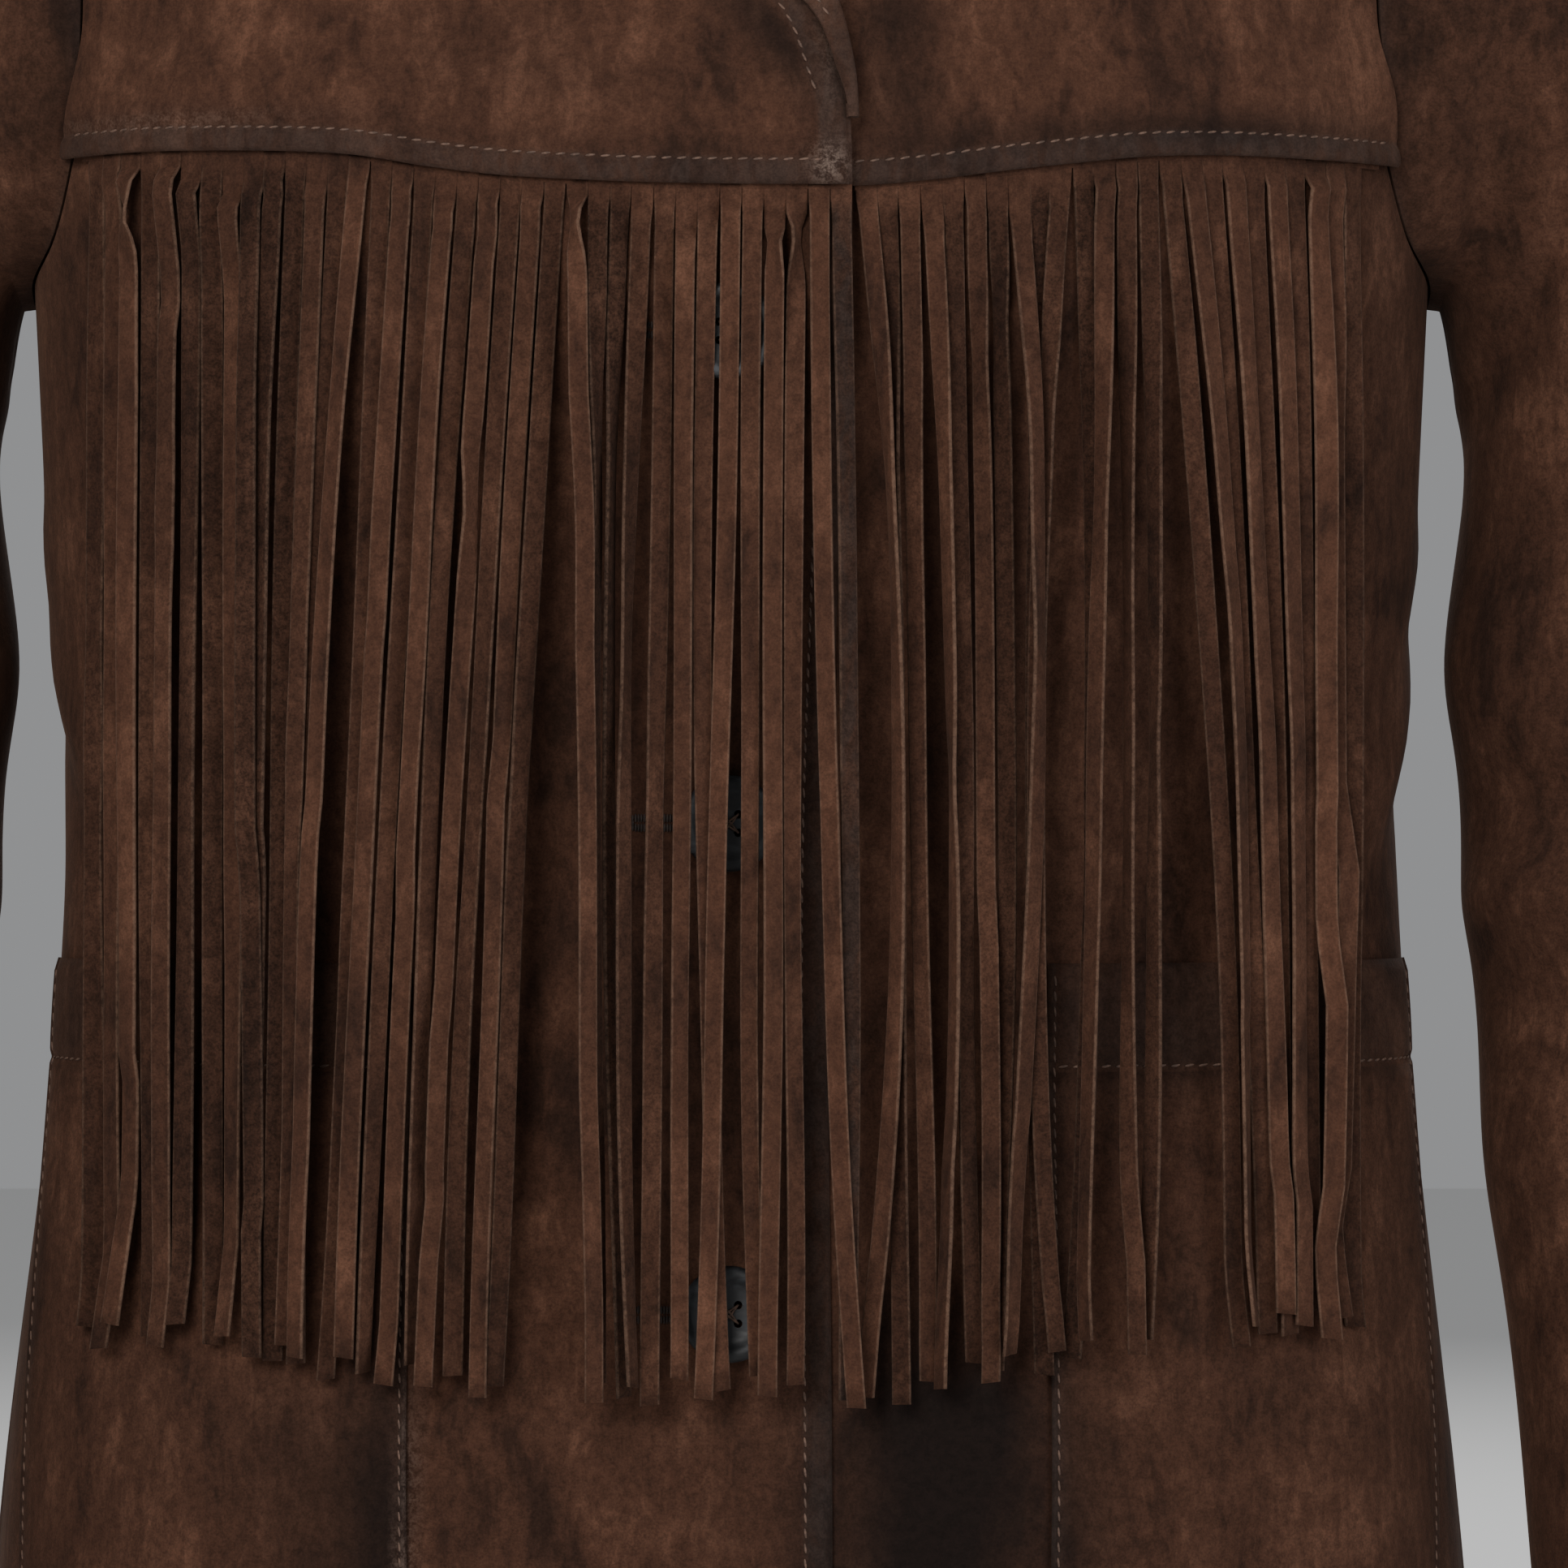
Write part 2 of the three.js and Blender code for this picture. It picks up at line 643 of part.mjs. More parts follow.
// Patch pockets, low on the fronts
const POCKET_TOP_Z = -417;
const POCKET_FOOT_Z = -592;
const POCKET_WIDTH = 132;
const POCKET_INNER_X = 83;
const POCKET_COLS = 8;
const POCKET_ROWS = 8;
const POCKET_THICK = 1.5;
const POCKET_GAP = 0.8;
const pocketOut = () => POCKET_GAP + POCKET_THICK;

// The place that lies a given length round the body from another, at the same height
function roundFrom(place, length) {
  const stepAngle = 0.004 * Math.sign(length);
  let { angle } = place;
  let gone = 0;
  while (gone < Math.abs(length)) {
    gone += facePoint(angle, place.rise).distanceTo(facePoint(angle + stepAngle, place.rise));
    angle += stepAngle;
  }
  return { angle, rise: place.rise };
}

function pocketEdges(side) {
  const top = placeAt(side * POCKET_INNER_X, POCKET_TOP_Z);
  const foot = placeAt(side * POCKET_INNER_X, POCKET_FOOT_Z);
  const topFar = roundFrom(top, side * POCKET_WIDTH);
  const footFar = roundFrom(foot, side * POCKET_WIDTH);
  return {
    bottom: straight(foot, footFar),
    top: straight(top, topFar),
    start: straight(foot, top),
    end: straight(footFar, topFar),
  };
}

for (const [name, side] of [['pocket_right', -1], ['pocket_left', 1]]) {
  const pocket = panel(pocketEdges(side), POCKET_COLS, steps(POCKET_ROWS), pocketOut, POCKET_THICK);
  add(name, pocket, BODY_SUEDE);
}

// Lapels: the fronts' turned-back tops. `width` is how far each has turned back over the
// yoke at a height on the roll line.
const LAPEL_WIDTHS = [
  { z: -204, width: 3 },
  { z: -186, width: 3 },
  { z: -180, width: 3.6 },
  { z: -166, width: 7 },
  { z: -150, width: 15 },
  { z: -130, width: 27 },
  { z: -90, width: 51 },
  { z: -44, width: 73 },
];
const LAPEL_NARROW = 3;
const LAPEL_THICK = 1.5;
const LAPEL_ROWS = 11;
const LAPEL_FOOT_RIGHT_Z = -199;
const LAPEL_FOOT_LEFT_Z = -135;
const GORGE_Z = -40;

// Where the lapel is narrow its roll lies close to the front edge and low on the yoke. It
// fills out between the two widths.
const LAPEL_CLOSE = 1.3;
const LAPEL_LOW = 2;
const LAPEL_LOW_SHARE = 0.4;
const LAPEL_FILLS_FROM = 3;
const LAPEL_FILLS_TO = 18;

// The lapel's section where it is full: its turned edge, measured inward from the roll line,
// then its leaf, whose lines lie at shares of the width and at most so far out
const LAPEL_TURN = [
  { inward: 1.5, rise: -0.7 },
  { inward: 3.4, rise: 0.8 },
  { inward: 3.6, rise: 3 },
  { inward: 1.8, rise: 5 },
];
const LAPEL_LEAF = [
  { share: 0.3, most: 5, rise: 5.8 },
  { share: 0.55, most: Infinity, rise: 5.3 },
  { share: 0.8, most: Infinity, rise: 4.6 },
  { share: 1, most: Infinity, rise: 4 },
];

function lapel(side) {
  const rollRows = side < 0 ? RIGHT_ROLL : LEFT_ROLL;
  const roll = new THREE.CatmullRomCurve3(rollRows.map((row) => new THREE.Vector3(row.x, row.z, 0)));
  const out = side < 0 ? overYoke : settled;
  const fromZ = side < 0 ? LAPEL_FOOT_RIGHT_Z : LAPEL_FOOT_LEFT_Z;
  const rowAt = (z) => {
    let t = 0;
    while (roll.getPoint(t).y < z) {
      t += 0.002;
    }
    return t;
  };
  const from = rowAt(fromZ);
  const to = rowAt(GORGE_Z);
  const grid = steps(LAPEL_ROWS).map((v) => {
    const t = from + (to - from) * v;
    const at = roll.getPoint(t);
    const along = roll.getTangent(t);
    const away = new THREE.Vector2(along.y * side, -along.x * side);
    const late = side > 0 ? step(v, -0.05, 0.5) : 1;
    const fullWidth = smooth(LAPEL_WIDTHS, 'z', 'width', at.y);
    const width = LAPEL_NARROW + (fullWidth - LAPEL_NARROW) * late;
    const over = (distance, rise) => {
      const place = placeAt(at.x + away.x * distance, at.y + away.y * distance);
      return onBody(place, out(place) + rise);
    };
    const outward = over(1, 0).sub(over(0, 0)).normalize();
    const full = step(width, LAPEL_FILLS_FROM, LAPEL_FILLS_TO);
    const turned = (inward, rise) => over(0, rise).addScaledVector(outward, -inward);
    const turnedLine = (line) => turned(
      LAPEL_CLOSE + (line.inward - LAPEL_CLOSE) * full,
      line.rise * (LAPEL_LOW_SHARE + (1 - LAPEL_LOW_SHARE) * full),
    );
    const leafLine = (line) => over(
      Math.min(line.most, line.share * width),
      LAPEL_LOW + (line.rise - LAPEL_LOW) * full,
    );
    return [...LAPEL_TURN.map(turnedLine), ...LAPEL_LEAF.map(leafLine)];
  });
  return wallAbout(grid, LAPEL_THICK);
}

add('lapel_right', lapel(-1), BODY_SUEDE);
add('lapel_left', lapel(1), BODY_SUEDE);

// The collar, from the centre back to its front end. seamX and seamZ are on the neck's
// edge, stand is the height of the fold above it, and edgeX and edgeY are the leaf's rim
// seen from above.
const COLLAR_STATIONS = [
  { seamX: 0, stand: 29, edgeX: 0, edgeY: 82 },
  { seamX: 32, stand: 29, edgeX: 40, edgeY: 79 },
  { seamX: 56, stand: 28, edgeX: 76, edgeY: 65 },
  { seamX: 69, stand: 26, edgeX: 100, edgeY: 38 },
  { seamX: 74, stand: 22, edgeX: 113, edgeY: 4 },
  { seamX: 71, seamZ: -10, stand: 19, edgeX: 117, edgeY: -14 },
  { seamX: 67, seamZ: -22, stand: 14, edgeX: 118, edgeY: -34 },
  { seamX: 61, seamZ: -36, stand: 8, edgeX: 113, edgeY: -56 },
];
const COLLAR_COLS = 24;
const COLLAR_CLEAR = 4;
const COLLAR_LIFT = 2;
const COLLAR_SEAM_IN = 1.2;
const STAND_LEAN = 0.12;

// The leaf between the fold and the rim: the share of the way, and how far it bows out and up
const COLLAR_LEAF = [
  { share: 0.33, out: 4, up: 1 },
  { share: 0.7, out: 3, up: 1.5 },
];

// Height of the shoulders seen from above
function topZ(x, y) {
  let z = shoulderSeamZ(x);
  for (let pass = 0; pass < 12; pass += 1) {
    const ring = placeAt(x, Math.min(z, 0), y > 0);
    const away = Math.abs(facePoint(ring.angle, Math.min(z, shoulderSeamZ(x) - SHOULDER_ROUND)).y);
    const share = clamp(Math.abs(y) / away, 0, 0.98);
    z = shoulderSeamZ(x) - SHOULDER_ROUND * (1 - Math.sqrt(1 - share * share));
  }
  return z;
}

function collar() {
  const half = COLLAR_STATIONS.map((row) => {
    const seam = neckEdge(row);
    const rim = new THREE.Vector3(row.edgeX, row.edgeY, topZ(row.edgeX, row.edgeY) + COLLAR_CLEAR);
    const outward = rim.clone().sub(seam).setZ(0).normalize();
    const foot = seam.clone().addScaledVector(outward, -COLLAR_SEAM_IN);
    const fold = foot.clone().addScaledVector(outward, -STAND_LEAN * row.stand);
    fold.z += row.stand;
    return { foot, fold, rim, outward };
  });
  const flip = (v) => new THREE.Vector3(-v.x, v.y, v.z);
  const flipped = half.slice(1).reverse().map((row) => ({
    foot: flip(row.foot),
    fold: flip(row.fold),
    rim: flip(row.rim),
    outward: flip(row.outward),
  }));
  const all = [...flipped, ...half];
  const line = (key) => new THREE.CatmullRomCurve3(all.map((row) => row[key]), false, 'centripetal');
  const lines = { foot: line('foot'), fold: line('fold'), rim: line('rim'), outward: line('outward') };
  const grid = steps(COLLAR_COLS).map((t) => {
    const foot = lines.foot.getPoint(t);
    const fold = lines.fold.getPoint(t);
    const rim = lines.rim.getPoint(t);
    const outward = lines.outward.getPoint(t).normalize();
    const past = fold.clone().addScaledVector(outward, 5.5);
    past.z -= 1.5;
    const leaf = COLLAR_LEAF.map((row) => {
      const point = past.clone().lerp(rim, row.share).addScaledVector(outward, row.out);
      point.z += row.up;
      return point;
    });
    const waist = foot.clone().lerp(fold, 0.55).addScaledVector(outward, -1);
    const crown = fold.clone().addScaledVector(outward, 2.4);
    crown.z += 1.6;
    return [foot, waist, fold, crown, past, ...leaf, rim];
  });
  return wallAbout(grid, SUEDE);
}

// A point on the edge that the collar is sewn to
function neckEdge(row) {
  if (row.seamZ !== undefined) {
    return onBody(placeAt(row.seamX, row.seamZ), COLLAR_LIFT);
  }
  const x = Math.min(row.seamX, NECK_HALF + 2);
  const drop = BACK_NECK_DROP * Math.max(1 - (x / NECK_HALF) ** 3, 0);
  return onBody(placeAt(x, shoulderSeamZ(x) - drop, true), COLLAR_LIFT);
}

add('collar', collar(), BODY_SUEDE);

// Horn buttons, on the centre front
const BUTTON_RADIUS = 12.6;
const BUTTON_THICK = 4.2;
const BUTTON_HEIGHTS = [-252, -380, -508];
const BUTTON_SEAT = 0.95;
const HOLE_RADIUS = 1.1;
const HOLE_SPREAD = 2.4;
const BUTTON_SIDES = 16;
const HOLE_SIDES = 5;
const HOLE_LENGTH = 12;

function solidOf(geometry) {
  const at = geometry.attributes.position;
  const index = geometry.index.array;
  const names = new Map();
  const vertices = [];
  const used = Array.from(index, (i) => {
    const point = [at.getX(i), at.getY(i), at.getZ(i)];
    const key = point.map((value) => Math.round(value * 1e4)).join();
    if (!names.has(key)) {
      names.set(key, vertices.length / 3);
      vertices.push(...point);
    }
    return names.get(key);
  });
  const triangles = [];
  for (let i = 0; i < used.length; i += 3) {
    const [a, b, c] = used.slice(i, i + 3);
    if (a !== b && b !== c && a !== c) {
      triangles.push(a, b, c);
    }
  }
  return new wasm.Manifold(new wasm.Mesh({
    numProp: 3,
    vertProperties: new Float32Array(vertices),
    triVerts: new Uint32Array(triangles),
  }));
}

function geometryOf(solid) {
  const mesh = solid.getMesh();
  const geometry = new THREE.BufferGeometry();
  const points = new Float32Array(mesh.numVert * 3);
  for (let i = 0; i < mesh.numVert; i += 1) {
    for (let k = 0; k < 3; k += 1) {
      points[i * 3 + k] = mesh.vertProperties[i * mesh.numProp + k];
    }
  }
  geometry.setAttribute('position', new THREE.BufferAttribute(points, 3));
  geometry.setIndex(Array.from(mesh.triVerts));
  geometry.computeVertexNormals();
  return geometry;
}

// A dished disc with a rounded rim and four holes, its axis along +Y before it is placed
function button() {
  const profile = [
    [0, 0], [10.4, 0], [12.2, 1], [BUTTON_RADIUS, 2.4], [12, 3.7], [10.6, BUTTON_THICK],
    [9, 3.9], [7.6, 2.9], [0, 2.5],
  ].map(([radius, height]) => new THREE.Vector2(radius, height));
  let solid = solidOf(new THREE.LatheGeometry(profile, BUTTON_SIDES));
  for (const [acrossHoles, upHoles] of [[-1, -1], [1, -1], [1, 1], [-1, 1]]) {
    const hole = new THREE.CylinderGeometry(HOLE_RADIUS, HOLE_RADIUS, HOLE_LENGTH, HOLE_SIDES);
    hole.translate(acrossHoles * HOLE_SPREAD, 0, upHoles * HOLE_SPREAD);
    solid = solid.subtract(solidOf(hole));
  }
  return geometryOf(solid);
}

BUTTON_HEIGHTS.forEach((z, i) => {
  const place = placeAt(0, z);
  const normal = faceNormal(place.angle, place.rise);
  const seat = onBody(place, overlapOut(place) + BUTTON_SEAT);
  const turn = new THREE.Quaternion().setFromUnitVectors(new THREE.Vector3(0, 1, 0), normal);
  const disc = button();
  disc.applyQuaternion(turn);
  disc.translate(seat.x, seat.y, seat.z);
  add(`button_${i + 1}`, disc, HORN);
});

// Fringe. Each row is one cut strand, counted outwards from the front edge. `mid` and `tip`
// are how far it has swung to the viewer's right of its root, halfway down and at the tip,
// `turn` and `end` are its twist there in degrees, and a strand of a higher layer hangs in
// front of its neighbours.
const PITCH = 5.67;
const CUT_GAP = 0.6;
const STRAND_THICK = 1;
const LEFT_FRINGE_START_X = 32.4;
const STRAND_FREE_END = 5;
const ROOT_REACH = 3;
const ROOT_LIFT = 2;
const HEADER_FOOT = 0.5;
const HANG_GAP = 0.35;
const SIDE_GAP = 0.35;
const SWAY_SLOPE = 0.2;
const RIGHT_STRANDS = [
  { mid: 1.7, tip: 2.3, turn: 8, end: 0, layer: 0 },
  { mid: 2.7, tip: 9, turn: -12, end: -20, layer: 2 },
  { mid: -1.3, tip: -1.3, turn: 0, end: 0, layer: 1 },
  { mid: -1, tip: -1, turn: 5, end: 8, layer: 1 },
  { mid: -2.9, tip: 1, turn: 0, end: -8, layer: 0 },
  { mid: -5.5, tip: -10.5, turn: -18, end: -10, layer: 2 },
  { mid: -2.5, tip: 3.8, turn: 15, end: 10, layer: 1 },
  { mid: -1.7, tip: -2.1, turn: 10, end: 0, layer: 0 },
  { mid: -2.3, tip: -3.6, turn: -6, end: 0, layer: 1 },
  { mid: -0.4, tip: -0.4, turn: 55, end: 65, layer: 0 },
  { mid: 0.4, tip: 1.3, turn: 10, end: 0, layer: 0 },
  { mid: 0.6, tip: 2.1, turn: 72, end: 45, layer: 1 },
  { mid: 2.5, tip: 3.4, turn: 12, end: 8, layer: 0 },
  { mid: -10, tip: -18.5, turn: 20, end: 40, layer: 0 },
  { mid: -9.7, tip: -14, turn: 0, end: 0, layer: 1 },
  { mid: -10, tip: -16.2, turn: -10, end: 0, layer: 0 },
  { mid: -9.9, tip: -17.8, turn: 15, end: 10, layer: 1 },
  { mid: -9.9, tip: -15.7, turn: 35, end: 60, layer: 0 },
  { mid: -9.7, tip: -16, turn: 0, end: 5, layer: 1 },
  { mid: -9.2, tip: -16.4, turn: 18, end: 55, layer: 0 },
  { mid: -8.6, tip: -16.2, turn: 0, end: 0, layer: 1 },
  { mid: -8, tip: -15.7, turn: 10, end: 5, layer: 0 },
  { mid: -10.5, tip: -15.1, turn: -15, end: -10, layer: 2 },
  { mid: -8, tip: -12.6, turn: 10, end: 10, layer: 0 },
  { mid: -5, tip: -9.2, turn: 0, end: 15, layer: 0 },
  { mid: -5, tip: -6.3, turn: 8, end: 0, layer: 1 },
  { mid: -4.2, tip: -5.9, turn: -14, end: 0, layer: 0 },
];
const LEFT_STRANDS = [
  { mid: 0.6, tip: 0.6, turn: -8, end: 0, layer: 1 },
  { mid: 2.7, tip: 2.9, turn: 76, end: 8, layer: 0 },
  { mid: 1.3, tip: 4.2, turn: 12, end: 0, layer: 1 },
  { mid: 5, tip: 2.7, turn: 68, end: 70, layer: 2 },
  { mid: 3.8, tip: 5.7, turn: -10, end: 0, layer: 1 },
  { mid: 2.9, tip: 2.9, turn: 15, end: 10, layer: 0 },
  { mid: 2.7, tip: -1, turn: 25, end: 10, layer: 1 },
  { mid: 2.5, tip: -3.6, turn: -20, end: -30, layer: 2 },
  { mid: -0.6, tip: 1.7, turn: 20, end: 10, layer: 0 },
  { mid: -1.7, tip: -2.1, turn: 40, end: 5, layer: 1 },
  { mid: 1.7, tip: -3.2, turn: 12, end: 20, layer: 0 },
  { mid: -2.1, tip: -6.1, turn: 30, end: 58, layer: 1 },
  { mid: -1.5, tip: 1.3, turn: 10, end: 0, layer: 0 },
  { mid: 1.3, tip: -1.5, turn: 55, end: 60, layer: 1 },
  { mid: 10.5, tip: 17.8, turn: 10, end: 10, layer: 0 },
  { mid: 9.5, tip: 15.1, turn: -20, end: -55, layer: 1 },
  { mid: 8.4, tip: 17, turn: 10, end: 12, layer: 0 },
  { mid: 8, tip: 13.2, turn: 0, end: 20, layer: 1 },
  { mid: 6.7, tip: 10.3, turn: 12, end: 0, layer: 0 },
  { mid: 5.3, tip: 7.4, turn: -10, end: 0, layer: 1 },
  { mid: 4, tip: 5, turn: 10, end: 5, layer: 0 },
];

// Tip heights along the curtain, from the viewer's left to right
const TIP_LINE = [
  { x: -190, z: -514 },
  { x: -117, z: -517 },
  { x: -62, z: -525 },
  { x: 18, z: -527 },
  { x: 32, z: -529 },
  { x: 72, z: -521 },
  { x: 105, z: -515 },
  { x: 145, z: -512 },
  { x: 190, z: -511 },
];
const UNEVEN_TIPS = [0, 3, -2, 1, -4, 2, 0, -3, 4, -1, 2, -2, 3];

// The smooth share of the strand, from the root, at which each of its sections lies
const STRAND_SECTIONS = [0, 0.03, 0.08, 0.18, 0.34, 0.52, 0.76, 1];

// Shares of the yoke's edge at which its columns lie, from the front edge that shows
function shownShares(side) {
  const edge = yokeEdges(side).bottom;
  const all = steps(PANEL_COLS);
  all[PANEL_COLS] = 0.975;
  if (side < 0) {
    return all;
  }
  let start = 0;
  while (placeX(edge(start)) < LEFT_FRINGE_START_X) {
    start += 0.0005;
  }
  return [start, ...all.filter((t) => t > start + 0.02)];
}

const placeX = (place) => facePoint(place.angle, place.rise).x;
const lowered = (place, by) => ({ angle: place.angle, rise: place.rise - by });

// The line that a fringe's roots lie on, at the yoke's edge: points and outward directions
function rootLine(side) {
  const edge = yokeEdges(side).bottom;
  const out = side < 0 ? overlapOut : flat;
  const points = shownShares(side).map((t) => {
    const place = edge(t);
    return onBody(place, out(place) + LAYER_GAP + STRIP / 2);
  });
  const lengths = [0];
  for (let i = 1; i < points.length; i += 1) {
    lengths.push(lengths[i - 1] + points[i].clone().sub(points[i - 1]).setZ(0).length());
  }
  const at = (length) => {
    let i = 0;
    while (i < points.length - 2 && length > lengths[i + 1]) {
      i += 1;
    }
    const share = (length - lengths[i]) / (lengths[i + 1] - lengths[i]);
    const point = points[i].clone().lerp(points[i + 1], share);
    const along = points[i + 1].clone().sub(points[i]).setZ(0).normalize();
    return { point, along, outward: new THREE.Vector3(along.y, -along.x, 0).multiplyScalar(side) };
  };
  return { at, total: lengths[lengths.length - 1] };
}

// How far the body's face stands out at a height, measured from a point of the root line
function bodyReach(spot, z, side) {
  const { x, y } = spot.point;
  const place = { angle: Math.atan2(x, -y), rise: z };
  const layer = side < 0 ? overlapOut(place) : 0;
  const pocket = Math.abs(x) > POCKET_INNER_X - 6 && z < POCKET_TOP_Z + 30 ? pocketOut() : 0;
  const nearButton = Math.abs(x) < BUTTON_RADIUS + 6 && BUTTON_HEIGHTS.some((height) => (
    Math.abs(z - height) < BUTTON_RADIUS + 16
  ));
  const face = onBody(place, layer + pocket + (nearButton ? BUTTON_THICK + BUTTON_SEAT : 0));
  return face.sub(spot.point).dot(spot.outward);
}

// The row of a strand. Past the table's end the strands hang almost straight.
function strandRow(rows, k) {
  if (k < rows.length) {
    return rows[k];
  }
  const like = rows[(k * 5) % rows.length];
  return { mid: like.mid / 6, tip: like.tip / 6, turn: like.turn / 2, end: like.end, layer: like.layer };
}

const strandSwing = (row, t) => t * (4 * row.mid - row.tip) + t * t * (2 * row.tip - 4 * row.mid);

function strandTurn(row, t) {
  const low = step(t, 0.55, 1);
  return radians(row.turn * step(t, 0.04, 0.45) * (1 - low) + row.end * low);
}

// Where each strand of a fringe hangs: for each of its sections the length along the root
// line, the height, how far it stands off that line, and its turn
function hangStrands(side) {
  const line = rootLine(side);
  const rows = side < 0 ? RIGHT_STRANDS : LEFT_STRANDS;
  const strands = [];
  let root = PITCH / 2;
  for (let k = 0; root < line.total - STRAND_FREE_END; k += 1) {
    const spot = line.at(root);
    const pitch = PITCH / Math.max(Math.abs(spot.along.x), 0.8);
    const row = strandRow(rows, k);
    const tipZ = smooth(TIP_LINE, 'x', 'z', spot.point.x) - UNEVEN_TIPS[k % UNEVEN_TIPS.length];
    const drop = spot.point.z - tipZ;
    const sections = STRAND_SECTIONS.map((t) => {
      const turn = strandTurn(row, t);
      const wide = (pitch - CUT_GAP) / 2;
      const length = root + side * strandSwing(row, t);
      const z = t === 0 ? spot.point.z + ROOT_REACH : spot.point.z - t * drop;
      return {
        length,
        z,
        turn,
        wide,
        halfAcross: wide * Math.abs(Math.cos(turn)) + (STRAND_THICK / 2) * Math.abs(Math.sin(turn)),
        halfDeep: wide * Math.abs(Math.sin(turn)) + (STRAND_THICK / 2) * Math.abs(Math.cos(turn)),
        off: 0,
      };
    });
    strands.push({ layer: row.layer, sections });
    root += pitch;
  }
  const hung = [];
  for (const strand of [...strands].sort((a, b) => a.layer - b.layer)) {
    const need = strand.sections.map((section, i) => {
      if (i === 0) {
        return 0;
      }
      const body = bodyReach(line.at(section.length), section.z, side);
      let most = body + section.halfDeep + HANG_GAP;
      for (const other of hung) {
        if (crosses(strand, other, i)) {
          const near = [i - 1, i, i + 1].filter((j) => j > 0 && j < other.sections.length);
          const front = Math.max(...near.map((j) => other.sections[j].off + other.sections[j].halfDeep));
          most = Math.max(most, front + section.halfDeep + HANG_GAP);
        }
      }
      return most;
    });
    strand.sections.forEach((section, i) => {
      const reach = need.map((value, j) => (
        value - SWAY_SLOPE * Math.abs(strand.sections[j].z - section.z)
      ));
      section.off = i === 0 ? 0 : Math.max(0, ...reach);
    });
    strand.sections[1].off = Math.min(strand.sections[1].off, ROOT_LIFT);
    hung.push(strand);
  }
  return { line, strands };
}

// Whether two strands come side by side too closely near a section
function crosses(a, b, i) {
  const near = [i - 1, i, i + 1].filter((j) => j > 0 && j < a.sections.length);
  const span = (strand) => [
    Math.min(...near.map((j) => strand.sections[j].length - strand.sections[j].halfAcross)),
    Math.max(...near.map((j) => strand.sections[j].length + strand.sections[j].halfAcross)),
  ];
  const [aFrom, aTo] = span(a);
  const [bFrom, bTo] = span(b);
  return aFrom < bTo + SIDE_GAP && bFrom < aTo + SIDE_GAP;
}

// A four-sided strand through its sections
function strandSolid(line, strand) {
  const points = [];
  for (const section of strand.sections) {
    const spot = line.at(section.length);
    const center = spot.point.clone().addScaledVector(spot.outward, section.off);
    const across = spot.along.clone().multiplyScalar(Math.cos(section.turn));
    across.addScaledVector(spot.outward, Math.sin(section.turn));
    const through = spot.outward.clone().multiplyScalar(Math.cos(section.turn));
    through.addScaledVector(spot.along, -Math.sin(section.turn));
    for (const [a, b] of [[-1, -1], [1, -1], [1, 1], [-1, 1]]) {
      const corner = center.clone().addScaledVector(across, a * section.wide);
      corner.addScaledVector(through, (b * STRAND_THICK) / 2);
      corner.z = section.z;
      points.push(corner);
    }
  }
  const index = [];
  const last = points.length - 4;
  for (let i = 0; i < last; i += 4) {
    for (let k = 0; k < 4; k += 1) {
      const next = (k + 1) % 4;
      index.push(i + k, i + next, i + 4 + next, i + k, i + 4 + next, i + 4 + k);
    }
  }
  index.push(0, 2, 1, 0, 3, 2, last, last + 1, last + 2, last, last + 2, last + 3);
  const geometry = new THREE.BufferGeometry();
  const numbers = points.flatMap((point) => [point.x, point.y, point.z]);
  geometry.setAttribute('position', new THREE.Float32BufferAttribute(numbers, 3));
  geometry.setIndex(index);
  return solidOf(facingOut(geometry));
}

// The strip that the strands are cut from, tucked between the front and the yoke
function fringeHeader(side) {
  const edge = yokeEdges(side).bottom;
  const out = side < 0 ? overlapOut : flat;
  const shares = shownShares(side);
  const grid = (depth) => [-HEADER_FOOT, -HEADER_TUCK].map((by) => shares.map((t) => {
    const place = lowered(edge(t), by);
    return onBody(place, out(place) + LAYER_GAP + STRIP - depth);
  }));
  return solidOf(wall(grid(0), grid(STRIP)));
}

for (const [name, side] of [['fringe_right', -1], ['fringe_left', 1]]) {
  const { line, strands } = hangStrands(side);
  let fringe = fringeHeader(side);
  for (const strand of strands) {
    fringe = fringe.add(strandSolid(line, strand));
  }
  add(name, geometryOf(fringe), STRIP_SUEDE);
}

export default jacket;
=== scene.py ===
# %% [markdown]
# A suede jacket with a cut fringe, hollow, in the shape that it has when it is worn.
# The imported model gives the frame: every piece made here goes where its solid is. Lengths
# in this script are millimetres until a mesh is finished, because a tailor's sizes are easy
# to read that way, and a finished mesh is in metres.
# "Right" and "left" are the wearer's, so the right front is on the left of the picture.

# %% The frame and the tools
import json
import math

import bmesh
import bpy
import numpy as np
from mathutils import Matrix, Vector

